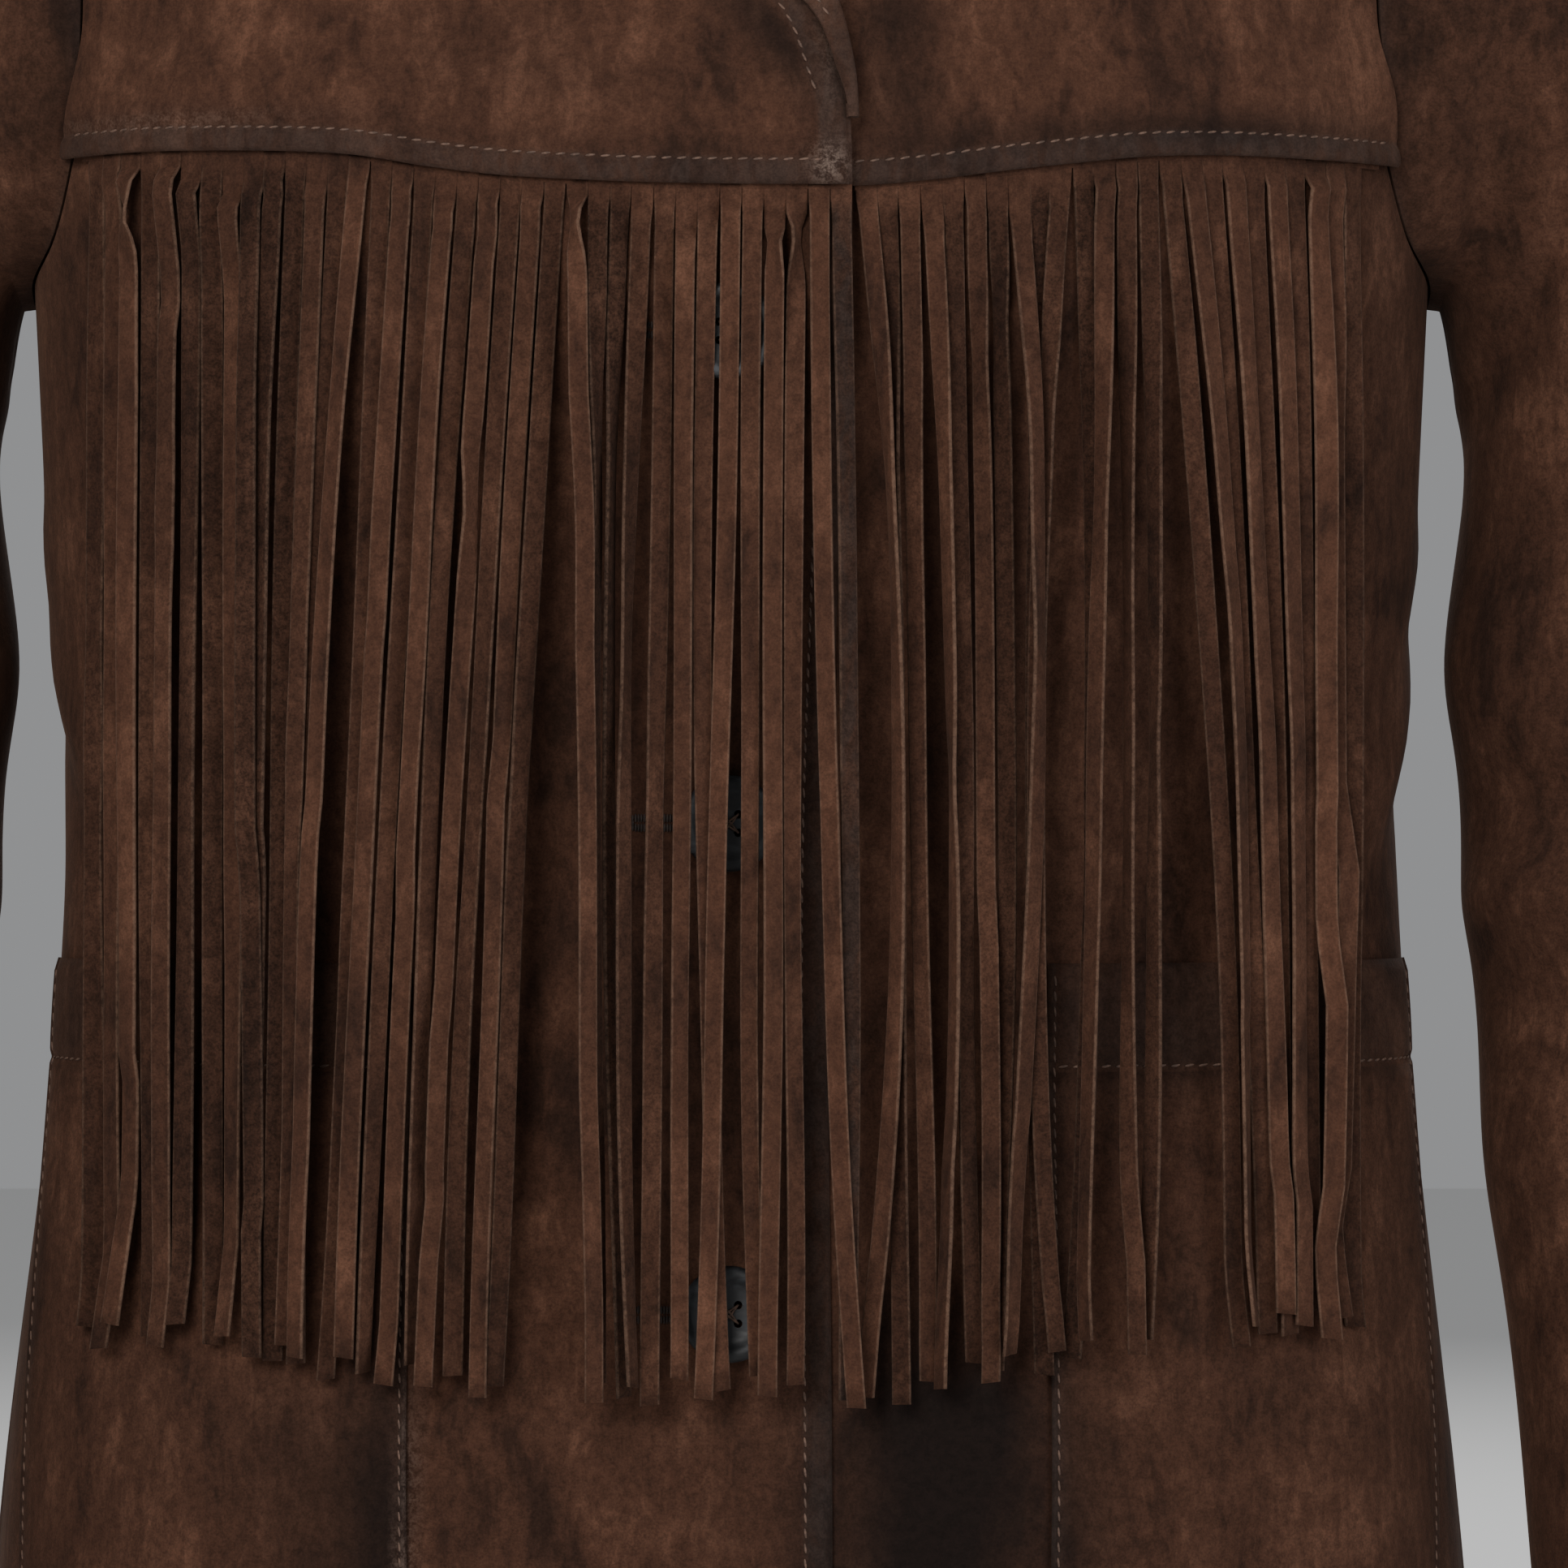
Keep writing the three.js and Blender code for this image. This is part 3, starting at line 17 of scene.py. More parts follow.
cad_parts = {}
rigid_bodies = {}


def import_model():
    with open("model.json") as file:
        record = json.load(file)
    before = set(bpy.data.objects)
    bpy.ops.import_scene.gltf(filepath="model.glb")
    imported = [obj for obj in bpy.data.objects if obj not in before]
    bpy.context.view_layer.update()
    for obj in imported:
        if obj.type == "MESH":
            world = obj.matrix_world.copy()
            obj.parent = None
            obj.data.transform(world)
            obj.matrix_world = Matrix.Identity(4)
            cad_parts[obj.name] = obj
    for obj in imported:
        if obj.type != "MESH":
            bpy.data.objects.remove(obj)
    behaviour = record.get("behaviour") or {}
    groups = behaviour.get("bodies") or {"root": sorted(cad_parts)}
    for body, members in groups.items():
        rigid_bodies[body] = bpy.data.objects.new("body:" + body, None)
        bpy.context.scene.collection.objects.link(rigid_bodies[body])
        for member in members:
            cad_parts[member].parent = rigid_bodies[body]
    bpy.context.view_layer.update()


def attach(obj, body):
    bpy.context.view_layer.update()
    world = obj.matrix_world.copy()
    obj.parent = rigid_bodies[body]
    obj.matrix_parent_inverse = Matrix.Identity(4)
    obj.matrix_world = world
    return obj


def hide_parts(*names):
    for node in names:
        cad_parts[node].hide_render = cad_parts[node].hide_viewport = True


for left_over in list(bpy.data.objects):
    bpy.data.objects.remove(left_over)
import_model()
MM = 0.001

# %% [markdown]
# The camera comes first, so that everything after it can be judged in its view. The
# picture is a close-up, square to the front, and a long lens far away keeps the straight
# fringe straight. The frame is 406 mm wide where the front stands nearest to the camera.

# %% The camera
FRAME_WIDTH = 405.7
FRAME_CENTRE = (14.3, -125.0, -370.0)
CAMERA_AWAY = 2100.0
camera_data = bpy.data.cameras.new("close_up")
camera_data.lens = camera_data.sensor_width * CAMERA_AWAY / FRAME_WIDTH
camera = bpy.data.objects.new("close_up", camera_data)
bpy.context.collection.objects.link(camera)
camera.location = Vector(FRAME_CENTRE) * MM + Vector((0, -CAMERA_AWAY * MM, 0))
camera.rotation_euler = (math.radians(90), 0, 0)
bpy.context.scene.camera = camera
print("lens in mm:", round(camera_data.lens, 1))

# %% [markdown]
# The floor is a pale sheet below the hem. Suede drinks light, so the lamps are large and
# soft and stand in front, a little above: the gaps between the strands stay deep and dark,
# as nothing lights them from behind.

# %% Floor, background and lamps
FLOOR_Z = -0.78


def aimed_lamp(name, place, target, size, power, colour=(1, 1, 1)):
    data = bpy.data.lights.new(name, "AREA")
    data.shape = "DISK"
    data.size = size
    data.energy = power
    data.color = colour
    lamp = bpy.data.objects.new(name, data)
    bpy.context.collection.objects.link(lamp)
    lamp.location = place
    lamp.rotation_euler = (Vector(target) - Vector(place)).to_track_quat("-Z", "Y").to_euler()
    return lamp


MIDDLE = (0.0, 0.0, -0.35)
aimed_lamp("key", (-0.9, -2.6, 0.75), MIDDLE, 1.5, 62, (1.0, 0.97, 0.94))
aimed_lamp("fill", (1.7, -2.1, 0.1), MIDDLE, 1.6, 26, (0.95, 0.97, 1.0))
aimed_lamp("behind", (0.4, 2.4, 1.3), MIDDLE, 2.0, 40)

world = bpy.data.worlds.new("pale_room")
world.use_nodes = True
world.node_tree.nodes["Background"].inputs["Color"].default_value = (0.9, 0.91, 0.93, 1)
world.node_tree.nodes["Background"].inputs["Strength"].default_value = 0.32
bpy.context.scene.world = world

# %% [markdown]
# Shader maths reads best as sums. A Wire holds a socket, and adding or multiplying Wires
# adds the Math nodes. One method, node, adds any other kind: its settings first, then what
# goes into its sockets.


# %% Shader sums
class Wire:
    def __init__(self, socket):
        self.socket = socket

    def maths(self, operation, *values):
        return node(self.socket.id_data, "Math", {"operation": operation}, *values)

    def __add__(self, other):
        return self.maths("ADD", self, other)

    def __sub__(self, other):
        return self.maths("SUBTRACT", self, other)

    def __mul__(self, other):
        return self.maths("MULTIPLY", self, other)

    def between(self, low, high):
        settings = {"interpolation_type": "SMOOTHSTEP"}
        values = {"Value": self, "From Min": low, "From Max": high}
        return node(self.socket.id_data, "MapRange", settings, **values)


def node(tree, kind, settings, *values, output=0, **named):
    made = tree.nodes.new("ShaderNode" + kind)
    for name, value in settings.items():
        setattr(made, name, value)
    for key, value in [*enumerate(values), *named.items()]:
        socket = made.inputs[key.replace("_", " ") if isinstance(key, str) else key]
        if isinstance(value, Wire):
            tree.links.new(value.socket, socket)
        else:
            socket.default_value = value
    return Wire(made.outputs[output])


def blend(tree, share, under, over, kind="MIX"):
    made = tree.nodes.new("ShaderNodeMix")
    made.data_type = "RGBA"
    made.blend_type = kind
    for index, value in ((0, share), (6, under), (7, over)):
        if isinstance(value, Wire):
            tree.links.new(value.socket, made.inputs[index])
        else:
            made.inputs[index].default_value = value
    return Wire(made.outputs[2])


def noise(tree, at, scale, detail, rough=0.5, twist=0.0):
    sizes = {"Scale": scale, "Detail": detail, "Roughness": rough, "Distortion": twist}
    return node(tree, "TexNoise", {}, Vector=at, **sizes)


def new_material(name, **constants):
    """A material, its nodes and its shader, whose own sockets hold the constants."""
    material = bpy.data.materials.new(name)
    material.use_nodes = True
    shader = material.node_tree.nodes["Principled BSDF"]
    for key, value in constants.items():
        shader.inputs[key.replace("_", " ")].default_value = value
    return material, material.node_tree, shader


def linear(red, green, blue):
    """The shader colour of a colour given as 0 to 255, as a screen shows it."""
    parts = [value / 255 for value in (red, green, blue)]
    return (*[((p + 0.055) / 1.055) ** 2.4 if p > 0.04 else p / 12.92 for p in parts], 1)


print("a mid brown:", [round(value, 3) for value in linear(82, 56, 43)])

# %% [markdown]
# Suede is the brushed flesh side of the hide. It has no gloss, a soft pale bloom where it
# turns away from the eye, and clouds of lighter and darker nap where a hand has stroked it.
# The clouds come from noise on the object's own coordinates at three sizes, and a finer
# noise is the nap. Attributes on the pieces mark the rest: "worn" edges are greyed, "dark"
# places were dyed or pressed deeper or hold painted shade, "dust" is a pale rub, "cut" is the
# raw side of a strand and "tone" is how light that strand is: painted shade on strands that
# hang behind or in shade, painted light on those in front or turned to the lamp, and a little
# uneven tone of their own.

# %% Suede
SHADOW_BROWN = linear(46, 30, 23)
MIDDLE_BROWN = linear(67, 44, 33)
WARM_BROWN = linear(90, 62, 48)
RUBBED_GREY = linear(50, 44, 41)
DUST_GREY = linear(108, 94, 85)
DEEP_BROWN = linear(26, 18, 15)
CUT_PALE = linear(98, 77, 64)
BLOOM = linear(176, 140, 120)


def suede(name, shade=1.0, cloud=1.0, shift=(0, 0, 0)):
    material, tree, shader = new_material(
        name, Roughness=0.96, Specular_IOR_Level=0.15, Sheen_Weight=0.1, Sheen_Roughness=0.45,
        Sheen_Tint=BLOOM,
    )
    place = node(tree, "TexCoord", {}, output=3)
    place = node(tree, "Mapping", {}, place, Location=shift)
    stroke = node(tree, "Mapping", {}, place, Rotation=(0, 0.3, 0), Scale=(1, 1, 0.4))
    patches = noise(tree, place, 17, 4, 0.6, 0.8)
    strokes = noise(tree, stroke, 75, 4, 0.6, 0.5)
    mottle = noise(tree, stroke, 190, 3, 0.65, 1.0)
    flecks = noise(tree, place, 420, 3, 0.55)
    nap = noise(tree, place, 1500, 2, 0.7)
    worn, dark, dust, cut, strand_tone_and_shading = (
        node(tree, "Attribute", {"attribute_name": mark}, output=2)
        for mark in ("worn", "dark", "dust", "cut", "tone")
    )
    tone = (patches * 0.42 + strokes * 0.34 + mottle * 0.24 - 0.5) * (cloud * 1.3) + 0.5
    low = blend(tree, tone.between(0.34, 0.5), SHADOW_BROWN, MIDDLE_BROWN)
    cloth = blend(tree, tone.between(0.48, 0.68), low, WARM_BROWN)
    # "dark" blends towards DEEP_BROWN: dye, pressing and, in places, painted shade.
    cloth = blend(tree, dark * 0.8, cloth, DEEP_BROWN)
    cloth = blend(tree, worn * (mottle.between(0.36, 0.62) * 0.4 + 0.2), cloth, RUBBED_GREY)
    speckle = dust * (flecks * 0.5 + nap * 0.5).between(0.4, 0.6)
    cloth = blend(tree, speckle * 0.8, cloth, DUST_GREY)
    cloth = blend(tree, cut * (flecks.between(0.3, 0.6) * 0.25 + 0.45), cloth, CUT_PALE)
    grain = nap.between(0.3, 0.7) * 0.34 + flecks.between(0.35, 0.65) * 0.22 + 0.72 * shade
    # The strands' "tone" brings painted shade and painted light, and their own uneven tone.
    grain = grain + strand_tone_and_shading
    grey = node(tree, "CombineColor", {}, grain, grain, grain)
    cloth = blend(tree, 1.0, cloth, grey, "MULTIPLY")
    tree.links.new(cloth.socket, shader.inputs["Base Color"])
    height = nap * 0.7 + flecks * 0.5 + strokes * 0.6
    bump = node(tree, "Bump", {}, Strength=0.35, Distance=0.0006, Height=height)
    tree.links.new(bump.socket, shader.inputs["Normal"])
    return material


SUEDE_BODY = suede("suede_body", shade=0.76)
SUEDE_YOKE = suede("suede_yoke", shade=0.98, shift=(0.21, 0.1, 0.05))
SUEDE_CUT = suede("suede_cut", shade=0.74, cloud=0.85, shift=(0.4, 0, 0.3))
print("suedes:", SUEDE_BODY.name, SUEDE_YOKE.name, SUEDE_CUT.name)

# %% [markdown]
# The jacket's form is a figure in rings: half its width and its depth before and behind at a
# few heights. Everything that lies on the body is placed by an angle round it and a rise up
# it, and then moved out along the cloth's own direction. Tables hold the sizes, and a smooth
# curve runs through each column.


# %% Tables and smooth curves
def table(names, *rows):
    """A table's columns by name."""
    return dict(zip(names.split(), np.array(rows, float).T))


def row_at(rows, k):
    return {name: column[k] for name, column in rows.items()}


def each_row(rows):
    return (row_at(rows, k) for k in range(len(next(iter(rows.values())))))


def smooth(rows, along, column, at):
    """The smooth value of one column at a place along another, which is sorted."""
    keys, values = rows[along], rows[column]
    at = np.clip(np.asarray(at, float), keys[0], keys[-1])
    last = len(keys) - 1
    slopes = np.array([
        (values[min(j + 1, last)] - values[max(j - 1, 0)])
        / (keys[min(j + 1, last)] - keys[max(j - 1, 0)]) for j in range(last + 1)
    ])
    i = np.clip(np.searchsorted(keys, at) - 1, 0, last - 1)
    span = keys[i + 1] - keys[i]
    t = (at - keys[i]) / span
    rise = t * t * (3 - 2 * t)
    leave = span * slopes[i] * t * (1 - t) ** 2
    arrive = span * slopes[i + 1] * t * t * (t - 1)
    return values[i] * (1 - rise) + values[i + 1] * rise + leave + arrive


def step(at, low, high):
    t = np.clip((np.asarray(at, float) - low) / (high - low), 0, 1)
    return t * t * (3 - 2 * t)


def hill(*offs):
    """A soft hill of height 1. Each off is a distance over the hill's width that way."""
    return np.exp(-sum(off**2 for off in offs))


def lengths_along(points):
    steps_taken = np.linalg.norm(np.diff(points, axis=0), axis=1)
    return np.concatenate([[0], np.cumsum(steps_taken)])


def read_at(where, marks, points):
    """The points at places along others, which have these marks."""
    return np.stack([np.interp(where, marks, column) for column in points.T], axis=-1)


def through(points, shares):
    """Points of a centripetal curve through given ones, by the share of the way."""
    points = np.array(points, float)
    ends = [2 * points[0] - points[1], *points, 2 * points[-1] - points[-2]]
    count = len(points) - 1
    along = np.clip(np.asarray(shares, float), 0, 1) * count
    i = np.minimum(along.astype(int), count - 1)
    t = (along - i)[..., None]
    p0, p1, p2, p3 = (np.array(ends)[i + j] for j in range(4))
    d0, d1, d2 = (
        np.maximum(np.linalg.norm(b - a, axis=-1, keepdims=True), 1e-9) ** 0.5
        for a, b in ((p0, p1), (p1, p2), (p2, p3))
    )
    leave = ((p1 - p0) / d0 - (p2 - p0) / (d0 + d1) + (p2 - p1) / d1) * d1
    arrive = ((p2 - p1) / d1 - (p3 - p1) / (d1 + d2) + (p3 - p2) / d2) * d1
    bend = 3 * (p2 - p1) - 2 * leave - arrive
    return p1 + leave * t + bend * t**2 + (2 * (p1 - p2) + leave + arrive) * t**3


BODY_RADIUS = 150


def route(places):
    """A smooth route through places on the body, even by length."""
    marks = [(angle * BODY_RADIUS, rise) for angle, rise in places]
    fine = through(marks, np.linspace(0, 1, 40 * len(marks)))
    gone = lengths_along(fine)
    gone /= gone[-1]

    def at(t):
        t = np.clip(t, 0, 1)
        return np.interp(t, gone, fine[:, 0]) / BODY_RADIUS, np.interp(t, gone, fine[:, 1])
    return at


print("a smooth value:", smooth(table("a b", (0, 0), (1, 2), (2, 3)), "a", "b", 1.5))

# %% [markdown]
# These sizes are the cutter's own: the rings of the body, the fall of the shoulders, the
# broad folds that the solids have too, and the lines along which panels are cut. Folds and
# creases push the cloth out (or in, below zero) in a soft hill that leans as it climbs.

# %% The body's sizes
CLOTH = 1.6
STRIP = 1.2
SEAM_GAP = 0.4
LAYER_GAP = 0.5
YOKE_GAP = 0.9
HEM_Z = -655
UNDERARM_Z = -240
YOKE_Z = -215
BODY_RINGS = table(
    "z half front back",
    (-655, 203, 124, 126), (-560, 197, 120, 118), (-400, 182, 108, 103), (-300, 187, 116, 109),
    (-215, 191, 124, 113), (-120, 196, 112, 108), (0, 200, 82, 88),
)
SQUARENESS = 2.5
NECK_HALF = 72
SHOULDER_HALF = 197
SHOULDER_FALL = 0.4
NECK_SOFTNESS = 16
SHOULDER_ROUND = 95
FOLDS = table(
    "angle z lean wide tall depth",
    (100, -655, 1.5, 9, 190, 7), (128, -655, -2, 8, 150, -5), (163, -655, 1, 11, 230, 6),
    (205, -655, -1.5, 9, 170, 5), (236, -655, 2, 8, 140, -5), (262, -655, -1, 9, 210, 7),
    (74, -655, 0.5, 7, 120, -4), (-70, -655, -0.5, 8, 140, -4), (116, -300, 14, 6, 60, 5),
    (244, -310, -12, 6, 65, 5), (150, -400, 9, 12, 45, -5), (214, -415, -8, 12, 50, -5),
)


def shoulder_seam_z(x):
    past = np.abs(x) - NECK_HALF
    return -SHOULDER_FALL * 0.5 * (past + np.hypot(past, NECK_SOFTNESS))


def ring_point(angle, z):
    half = smooth(BODY_RINGS, "z", "half", z)
    front = smooth(BODY_RINGS, "z", "front", z)
    depth = np.where(np.cos(angle) > 0, front, smooth(BODY_RINGS, "z", "back", z))
    across = np.abs(np.sin(angle)) / half
    away = np.abs(np.cos(angle)) / depth
    radius = (across**SQUARENESS + away**SQUARENESS) ** (-1 / SQUARENESS)
    return radius * np.sin(angle), -radius * np.cos(angle)


def face_point(angle, rise):
    """A point of the body by its angle from the front centre and its rise up the cloth."""
    angle, rise = np.broadcast_arrays(np.asarray(angle, float), np.asarray(rise, float))
    z = np.minimum(rise, 0)
    for _ in range(6):
        x, ring_y = ring_point(angle, z)
        round_from = shoulder_seam_z(x) - SHOULDER_ROUND
        turn = np.maximum(rise - round_from, 0) / SHOULDER_ROUND
        y = ring_y * np.cos(turn)
        z = np.minimum(rise, round_from) + SHOULDER_ROUND * np.sin(turn)
    return np.stack([x, y, z], axis=-1)


def unit(vectors):
    return vectors / np.linalg.norm(vectors, axis=-1, keepdims=True)


def face_normal(angle, rise):
    across = face_point(angle + 0.01, rise) - face_point(angle - 0.01, rise)
    up = face_point(angle, rise + 1) - face_point(angle, rise - 1)
    return unit(np.cross(across, up))


def fold_depth(angle, rise):
    depth = 0.0
    for fold in each_row(FOLDS):
        above = rise - fold["z"]
        off = np.degrees(angle) - fold["angle"] - fold["lean"] * above / 100
        off = (off + 540) % 360 - 180
        depth = depth + fold["depth"] * hill(off / fold["wide"], above / fold["tall"])
    return depth


print("front centre at the yoke:", face_point(0, YOKE_Z).round(1))

# %% [markdown]
# Worn suede keeps soft creases where the body bends it: they fan from the underarms, pull
# at the buttons, and break across the waist and the small of the back. Each is placed one by
# one. A crease is a ridge with a trough beside it, long one way and narrow the other, and
# "turn" is the angle of its length above the level.

# %% Creases
CREASES = table(
    "angle z turn length wide depth",
    (-62, -150, 62, 60, 13, 1.5), (-50, -178, 48, 45, 10, 1.1), (-34, -120, 70, 70, 16, 1.0),
    (-20, -160, 20, 38, 12, 0.8), (58, -140, -60, 62, 12, 1.5), (46, -172, -40, 42, 11, 1.2),
    (30, -110, -72, 66, 15, 0.9), (66, -188, -30, 36, 9, 1.3), (-10, -188, -8, 30, 12, 0.7),
    (-24, -330, 78, 95, 14, 1.2), (-48, -400, 84, 110, 16, 1.4), (-14, -470, 80, 80, 12, 0.9),
    (33, -350, -80, 105, 15, 1.3), (17, -430, -74, 70, 12, 1.0), (56, -460, -84, 120, 17, 1.5),
    (-8, -250, -24, 34, 9, 0.9), (9, -262, 22, 30, 9, 0.9), (-9, -384, -16, 36, 9, 0.9),
    (10, -392, 14, 30, 9, 0.8), (-66, -560, 86, 90, 12, 1.4), (62, -585, -86, 80, 13, 1.3),
    (86, -360, 40, 60, 12, 2.2), (-84, -345, -44, 56, 11, 2.0), (98, -300, 30, 46, 10, 1.8),
    (262, -295, -34, 50, 11, 1.9), (130, -160, 70, 85, 16, 1.8), (152, -120, 82, 60, 14, 1.2),
    (228, -150, -66, 80, 15, 1.7), (205, -115, -84, 64, 14, 1.2), (180, -230, 4, 70, 14, 1.1),
    (165, -372, 12, 90, 11, 2.3), (190, -392, -8, 84, 12, 2.1), (176, -425, 5, 105, 13, 1.8),
    (145, -455, 18, 60, 11, 1.6), (218, -448, -20, 66, 12, 1.7), (140, -560, 80, 90, 14, 1.5),
    (186, -585, 88, 85, 16, 1.3), (226, -570, -80, 95, 14, 1.6),
)


def crease_depth(angle, rise):
    depth = 0.0
    for crease in each_row(CREASES):
        round_by = (np.degrees(angle) - crease["angle"] + 540) % 360 - 180
        across = np.radians(round_by) * BODY_RADIUS
        up = rise - crease["z"]
        turn = math.radians(crease["turn"])
        along = (across * math.cos(turn) + up * math.sin(turn)) / crease["length"]
        aside = (up * math.cos(turn) - across * math.sin(turn)) / crease["wide"]
        ridge = hill(aside - 0.5) - 0.8 * hill(aside + 0.7)
        depth = depth + crease["depth"] * ridge * hill(along)
    return depth


def on_body(place, out):
    """Points on the body's cloth, moved out of its face."""
    angle, rise = place
    push = out + fold_depth(angle, rise) + crease_depth(angle, rise)
    return face_point(angle, rise) + face_normal(angle, rise) * np.asarray(push)[..., None]


def place_at(x, z, back=False):
    """The place on the front (or the back) with these x and z."""
    x, z = np.broadcast_arrays(np.asarray(x, float), np.asarray(z, float))
    half = smooth(BODY_RINGS, "z", "half", z)
    depth = smooth(BODY_RINGS, "z", "back" if back else "front", z)
    share = np.maximum(1 - (np.abs(x) / half) ** SQUARENESS, 0)
    away = depth * share ** (1 / SQUARENESS)
    seam = shoulder_seam_z(x)
    turn = np.arcsin(np.clip(1 - (seam - z) / SHOULDER_ROUND, 0, 1))
    rise = np.where(turn > 0, seam - SHOULDER_ROUND + turn * SHOULDER_ROUND, z)
    angle = np.arctan2(x, -away if back else away)
    if back:
        angle = np.where(angle < 0, angle + 2 * math.pi, angle)
    return angle, rise


print("creases:", len(CREASES["angle"]))

# %% [markdown]
# The panels meet along shared lines, as cut cloth does: the front edges, the yokes' lower
# edges, the roll lines of the lapels and the armholes. A panel lies between four routes,
# and a place inside them is blended from all four.

# %% Lines that the panels are cut along
OVER_EDGE_TOP_X = 31.5
OVER_EDGE_HEM_X = 26.5
UNDER_EDGE_X = -26.7
YOKE_EDGES = {
    -1: table(
        "x z", (31.5, -215.6), (0, -215.5), (-34, -214.6), (-58, -212.8), (-78, -210),
        (-98, -206.6), (-122, -205), (-150, -204), (-172, -204),
    ),
    1: table(
        "x z", (-26.7, -215.6), (8, -215.8), (34, -215.4), (54, -213.6), (72, -211.2),
        (90, -209), (108, -207), (130, -206), (150, -206), (172, -206),
    ),
}
ROLLS = {
    -1: table(
        "x z", (31.3, -204), (30, -186), (25, -166), (6, -130), (-24, -84), (-55, -36),
        (-74, -6),
    ),
    1: table(
        "x z", (-26.7, -196), (-6, -182), (14, -160), (30, -130), (46, -90), (61, -44),
        (74, -6),
    ),
}
FRONT_ARMHOLE = table(
    "z x", (-226, 182), (-204, 175), (-180, 172), (-145, 171), (-110, 177), (-80, 187),
    (-53, 197),
)
BACK_ARMHOLE = table(
    "z x", (-224, 184), (-190, 178), (-150, 177), (-115, 181), (-80, 189), (-53, 197),
)
FRONT_TUCK = 12
HEADER_TUCK = 7
BACK_NECK_DROP = 21
SIDE_GAP_ANGLE = 0.2 / 190
UNDERARM_ANGLE = math.pi / 2 - SIDE_GAP_ANGLE


def spot_at(x, z, back=False):
    return tuple(map(float, place_at(x, z, back)))


def places(xs, zs, back=False):
    return [spot_at(x, z, back) for x, z in zip(xs, zs)]


def seam_place(x, back):
    angle, rise = place_at(x, shoulder_seam_z(x), back)
    return angle, rise - SEAM_GAP / 2


def shoulder_seam(side, back):
    return lambda t: seam_place(side * (NECK_HALF + 2 + (SHOULDER_HALF - NECK_HALF - 2) * t), back)


def mix(a, b, t):
    return a[0] + (b[0] - a[0]) * t, a[1] + (b[1] - a[1]) * t


def straight(start, end):
    return lambda t: mix(start, end, np.asarray(t, float))


def backwards(line):
    return lambda t: line(1 - np.asarray(t, float))


def joined(lines, shares):
    starts = np.concatenate([[0], np.cumsum(shares)])

    def at(t):
        t = np.clip(np.asarray(t, float), 0, 1)
        which = np.clip(np.searchsorted(starts, t, side="left") - 1, 0, len(lines) - 1)
        angle, rise = np.zeros_like(t), np.zeros_like(t)
        for i, line in enumerate(lines):
            found = line((t - starts[i]) / shares[i])
            angle = np.where(which == i, found[0], angle)
            rise = np.where(which == i, found[1], rise)
        return angle, rise
    return at


def armhole_at(side, z):
    return spot_at(side * smooth(FRONT_ARMHOLE, "z", "x", z), z)


def underarm(side):
    return side * UNDERARM_ANGLE, UNDERARM_Z


def armhole_rows(side, low, high):
    rows = each_row(FRONT_ARMHOLE)
    return [spot_at(side * row["x"], row["z"]) for row in rows if low < row["z"] < high]


FRONT_CLIMB = [10 / 13, 3 / 13]
BACK_CLIMB = [11 / 19, 8 / 19]
BACK_TOP = [0.35, 0.3, 0.35]
BACK_NECK_XS = np.array([62.0, 36, 0, -36, -62])
NO_LIMIT = -999
ARMHOLE_TOP_Z = -60


def front_edges(side):
    line = YOKE_EDGES[side]
    tucked = line["z"][-1] + FRONT_TUCK
    body = places(line["x"][:-1], line["z"][:-1] + FRONT_TUCK)
    top = route([*body, armhole_at(side, tucked)])
    edge_x = OVER_EDGE_TOP_X if side < 0 else UNDER_EDGE_X
    hem_start = place_at(OVER_EDGE_HEM_X if side < 0 else UNDER_EDGE_X, HEM_Z)
    edge_start = place_at(edge_x, UNDERARM_Z)
    hem_end = (underarm(side)[0], HEM_Z)
    rows = armhole_rows(side, NO_LIMIT, tucked - 4)
    up_armhole = route([underarm(side), *rows, armhole_at(side, tucked)])
    return {
        "bottom": straight(hem_start, hem_end),
        "top": top,
        "start": joined([straight(hem_start, edge_start), straight(edge_start, top(0))],
                        FRONT_CLIMB),
        "end": joined([straight(hem_end, underarm(side)), up_armhole], FRONT_CLIMB),
    }


def yoke_edges(side):
    line, roll = YOKE_EDGES[side], ROLLS[side]
    end_z = line["z"][-1]
    bottom = route([*places(line["x"][:-1], line["z"][:-1]), armhole_at(side, end_z)])
    top = shoulder_seam(side, False)
    up_armhole = [armhole_at(side, end_z), *armhole_rows(side, end_z + 4, ARMHOLE_TOP_Z)]
    return {
        "bottom": bottom,
        "top": top,
        "start": route([bottom(0), *places(roll["x"][:-1], roll["z"][:-1]), top(0)]),
        "end": route([*up_armhole, seam_place(side * SHOULDER_HALF, False)]),
    }


def back_side(side):
    angle = math.pi / 2 + SIDE_GAP_ANGLE if side > 0 else 1.5 * math.pi - SIDE_GAP_ANGLE
    return straight((angle, HEM_Z), (angle, UNDERARM_Z))


def back_armhole(side):
    rows = places(side * BACK_ARMHOLE["x"][:-1], BACK_ARMHOLE["z"][:-1], True)
    return route([back_side(side)(1), *rows, shoulder_seam(side, True)(1)])


def back_neck_z(x):
    drop = BACK_NECK_DROP * np.maximum(1 - (np.abs(x) / NECK_HALF) ** 3, 0)
    return shoulder_seam_z(x) - drop


def back_edges():
    neck_places = places(BACK_NECK_XS, back_neck_z(BACK_NECK_XS), True)
    neck = route([shoulder_seam(1, True)(0), *neck_places, shoulder_seam(-1, True)(0)])
    return {
        "bottom": straight(back_side(1)(0), back_side(-1)(0)),
        "top": joined([backwards(shoulder_seam(1, True)), neck, shoulder_seam(-1, True)],
                      BACK_TOP),
        "start": joined([back_side(1), back_armhole(1)], BACK_CLIMB),
        "end": joined([back_side(-1), back_armhole(-1)], BACK_CLIMB),
    }


